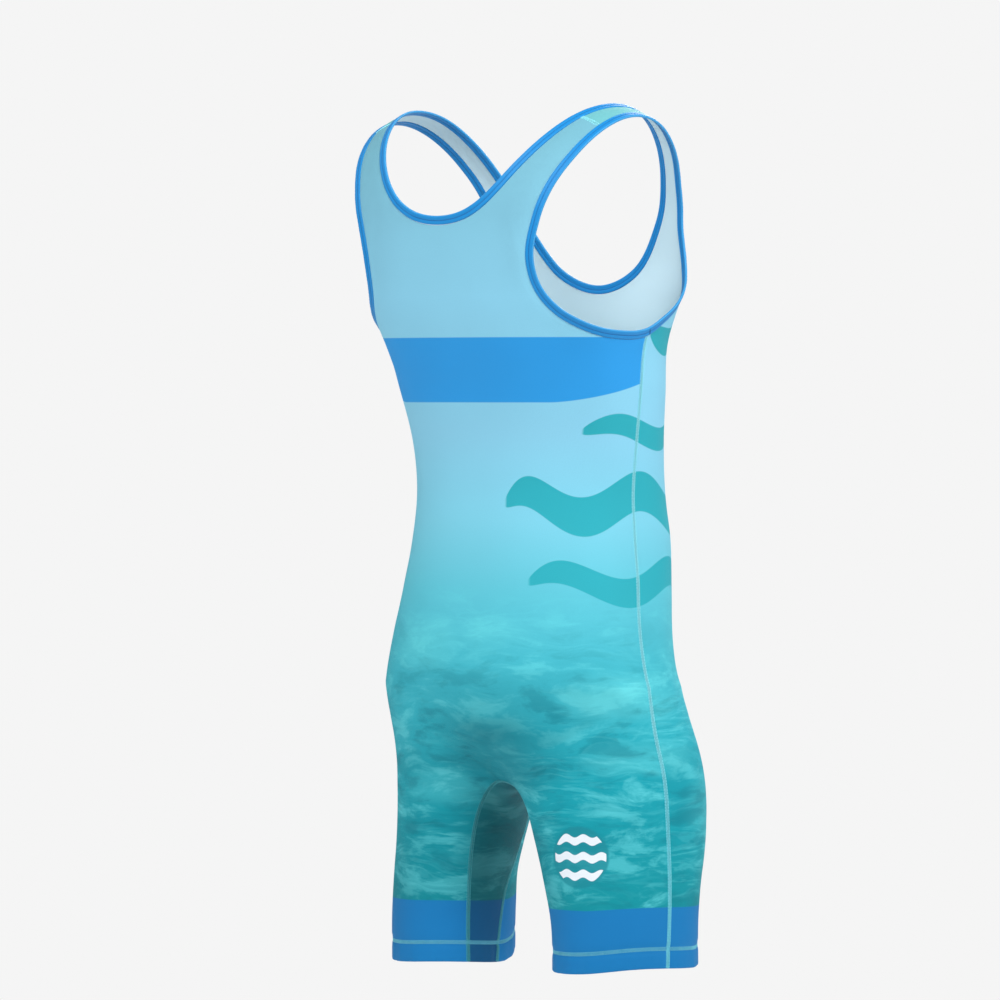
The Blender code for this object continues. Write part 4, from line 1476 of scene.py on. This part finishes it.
def cover_stitch(line, width, ends):
    """What shows outside: cover threads across a line, and a straight row along each edge of them."""
    paths = cover_paths(line, width, OUTSIDE, ends)
    for shift in (-0.5, 0.5):
        paths += stitch_paths(line, shift * width, OUTSIDE * 0.5, ends)
    return paths


seam_thread = thread_material("seam_thread", "#9aeef8", "#7ce4f3")
# The gusset's thread is a teal darkened further as painted shade between the legs.
shaded_gusset_thread = thread_material("shaded_gusset_thread", "#3fa5b0")
hem_thread = thread_material("hem_thread", "#63bdd3")
tape_thread = thread_material("tape_thread", "#1470b4")
print("threads are", round(2000 * THREAD, 2), "mm thick")

# %% [markdown]
# ## Sewing the seams
# Side seams, both gusset seams and the short shoulder seams are all flat seams. The same threads show
# inside, where they lie against the skin, so each seam is drawn on both faces of the cloth.

# %% Seams
SEAM_WIDTH = 0.0038
SIDE_POINTS, GUSSET_POINTS, SHOULDER_POINTS = 500, 300, 24


def seam_lines():
    """Each sewn line with how it goes on past its ends."""
    shoulder_back = np.array([seams["neck_back"][-1], seams["armhole_back"][-1]])
    shoulder_front = np.array([seams["neck_front"][-1], seams["armhole_front"][-1]])
    shoulder = onto_figure(evenly((shoulder_back + shoulder_front) / 2, SHOULDER_POINTS))
    return (
        ("side", evenly(seams["side"], SIDE_POINTS), OPEN),
        ("gusset_back", evenly(seams["gusset_back"], GUSSET_POINTS), UP_TO_MIDDLE),
        ("gusset_front", evenly(seams["gusset_front"], GUSSET_POINTS), UP_TO_MIDDLE),
        ("shoulder", shoulder, OPEN),
    )


for seam_name, line, ends in seam_lines():
    # Gusset seams get the thread darkened as painted shade.
    thread = shaded_gusset_thread if "gusset" in seam_name else seam_thread
    for side_name, turn in SIDES:
        name = f"{seam_name}_seam_{side_name}"
        threads(name + "_outside", cover_stitch(line * turn, SEAM_WIDTH, ends), thread)
        threads(name + "_inside", cover_paths(line * turn, SEAM_WIDTH, INSIDE, ends), thread)

# %% [markdown]
# ## Sewing the hems
# The turned-up hem is held by a cover stitch near its upper edge: two straight rows outside with cover
# threads between them, all round each leg.

# %% Hems
HEM_WIDTH = 0.0034
HEM_POINTS = 240


def hem_line(turn):
    """The stitch line round one leg, as a closed line on the figure."""
    angles = np.linspace(0, 2 * np.pi, HEM_POINTS, endpoint=False)
    heights = np.full(HEM_POINTS, HEM_STITCH_HEIGHT)
    across, along = (smooth_column(THIGH, name, heights) for name in ("across", "along"))
    origins = np.stack([across, along, heights], axis=1)
    directions = np.stack([np.cos(angles), np.sin(angles), np.zeros(HEM_POINTS)], axis=1)
    line = cast(origins, directions) * turn
    return np.concatenate([line, line[:1]])


for side_name, turn in SIDES:
    paths = cover_stitch(hem_line(turn), HEM_WIDTH, ROUND)
    threads(f"hem_stitch_{side_name}", paths, hem_thread)

# %% [markdown]
# ## Sewing the tape
# One row of stitches sinks into the groove of each tape. Where the ends of an armhole tape meet, at the side
# seam, three short bars of thread cross it.

# %% Tape stitches
TAPE_STITCH, TAPE_STITCH_LIFT, TAPE_THREAD = 0.0026, 0.00050, 0.00020
BAR_LIFT, BAR_THREAD, BAR_STEP = 0.00082, 0.00018, 0.0006
BAR_REACH = np.linspace(0.10, 0.90, 7)[:, None] * BINDING_WIDTH


def tape_stitches(tape):
    """One row of stitches along the tape's groove."""
    whole = np.concatenate([tape.line, tape.line[:1]])
    shift = tape.to_opening * (SEAM_GAP / 2 + GROOVE_ACROSS * (BINDING_WIDTH - SEAM_GAP / 2))
    paths = stitch_paths(whole, shift, TAPE_STITCH_LIFT, ROUND, TAPE_STITCH)
    threads(f"{tape.opening}_tape_stitch", paths, tape_thread, TAPE_THREAD)


def tape_join(tape):
    """Three short threads across the tape where its two ends meet."""
    along = round_line(tape.line)[:1]
    paths = []
    for k in (-1, 0, 1):
        sideways = tape.to_opening * np.cross(outward(tape.line[k][None]), along)
        places = onto_figure(tape.line[0] + sideways * BAR_REACH + along * BAR_STEP * k)
        paths.append(skin(places, BAR_LIFT))
    threads(f"{tape.opening}_tape_join", paths, tape_thread, BAR_THREAD)


for tape in TAPES:
    tape_stitches(tape)
    if tape.opening != "neck":
        tape_join(tape)

# %% [markdown]
# ## What was cut
# The tapes are narrow strips of the same knit, folded in two and sewn round the openings, so they are
# declared as pieces on the back.

# %% Cut sizes
FlatCut = namedtuple("FlatCut", "name flat area trims")
CUTS = (
    FlatCut("back_cloth", (0.40, 0.90), 0.27, [tape.opening + "_tape" for tape in TAPES]),
    FlatCut("front_cloth", (0.41, 0.90), 0.29, []),
    FlatCut("gusset_cloth", (0.10, 0.46), 0.030, []),
)
for cut in CUTS:
    print(cut.name, "was cut from", cut.flat, "m, with", cut.area, "square metres of its own")

# %% [markdown]
# ## The floor's finish
# A plain matte paper grey, so that nothing competes with the print.

# %% Floor finish
PAPER_GREY = (0.88, 0.88, 0.88, 1.0)
paper, _, paper_shader = new_material("floor_paper", roughness=0.9, specular=0.1)
paper_shader.inputs["Base Color"].default_value = PAPER_GREY
floor.data.materials.append(paper)
print("floor painted with", paper.name)
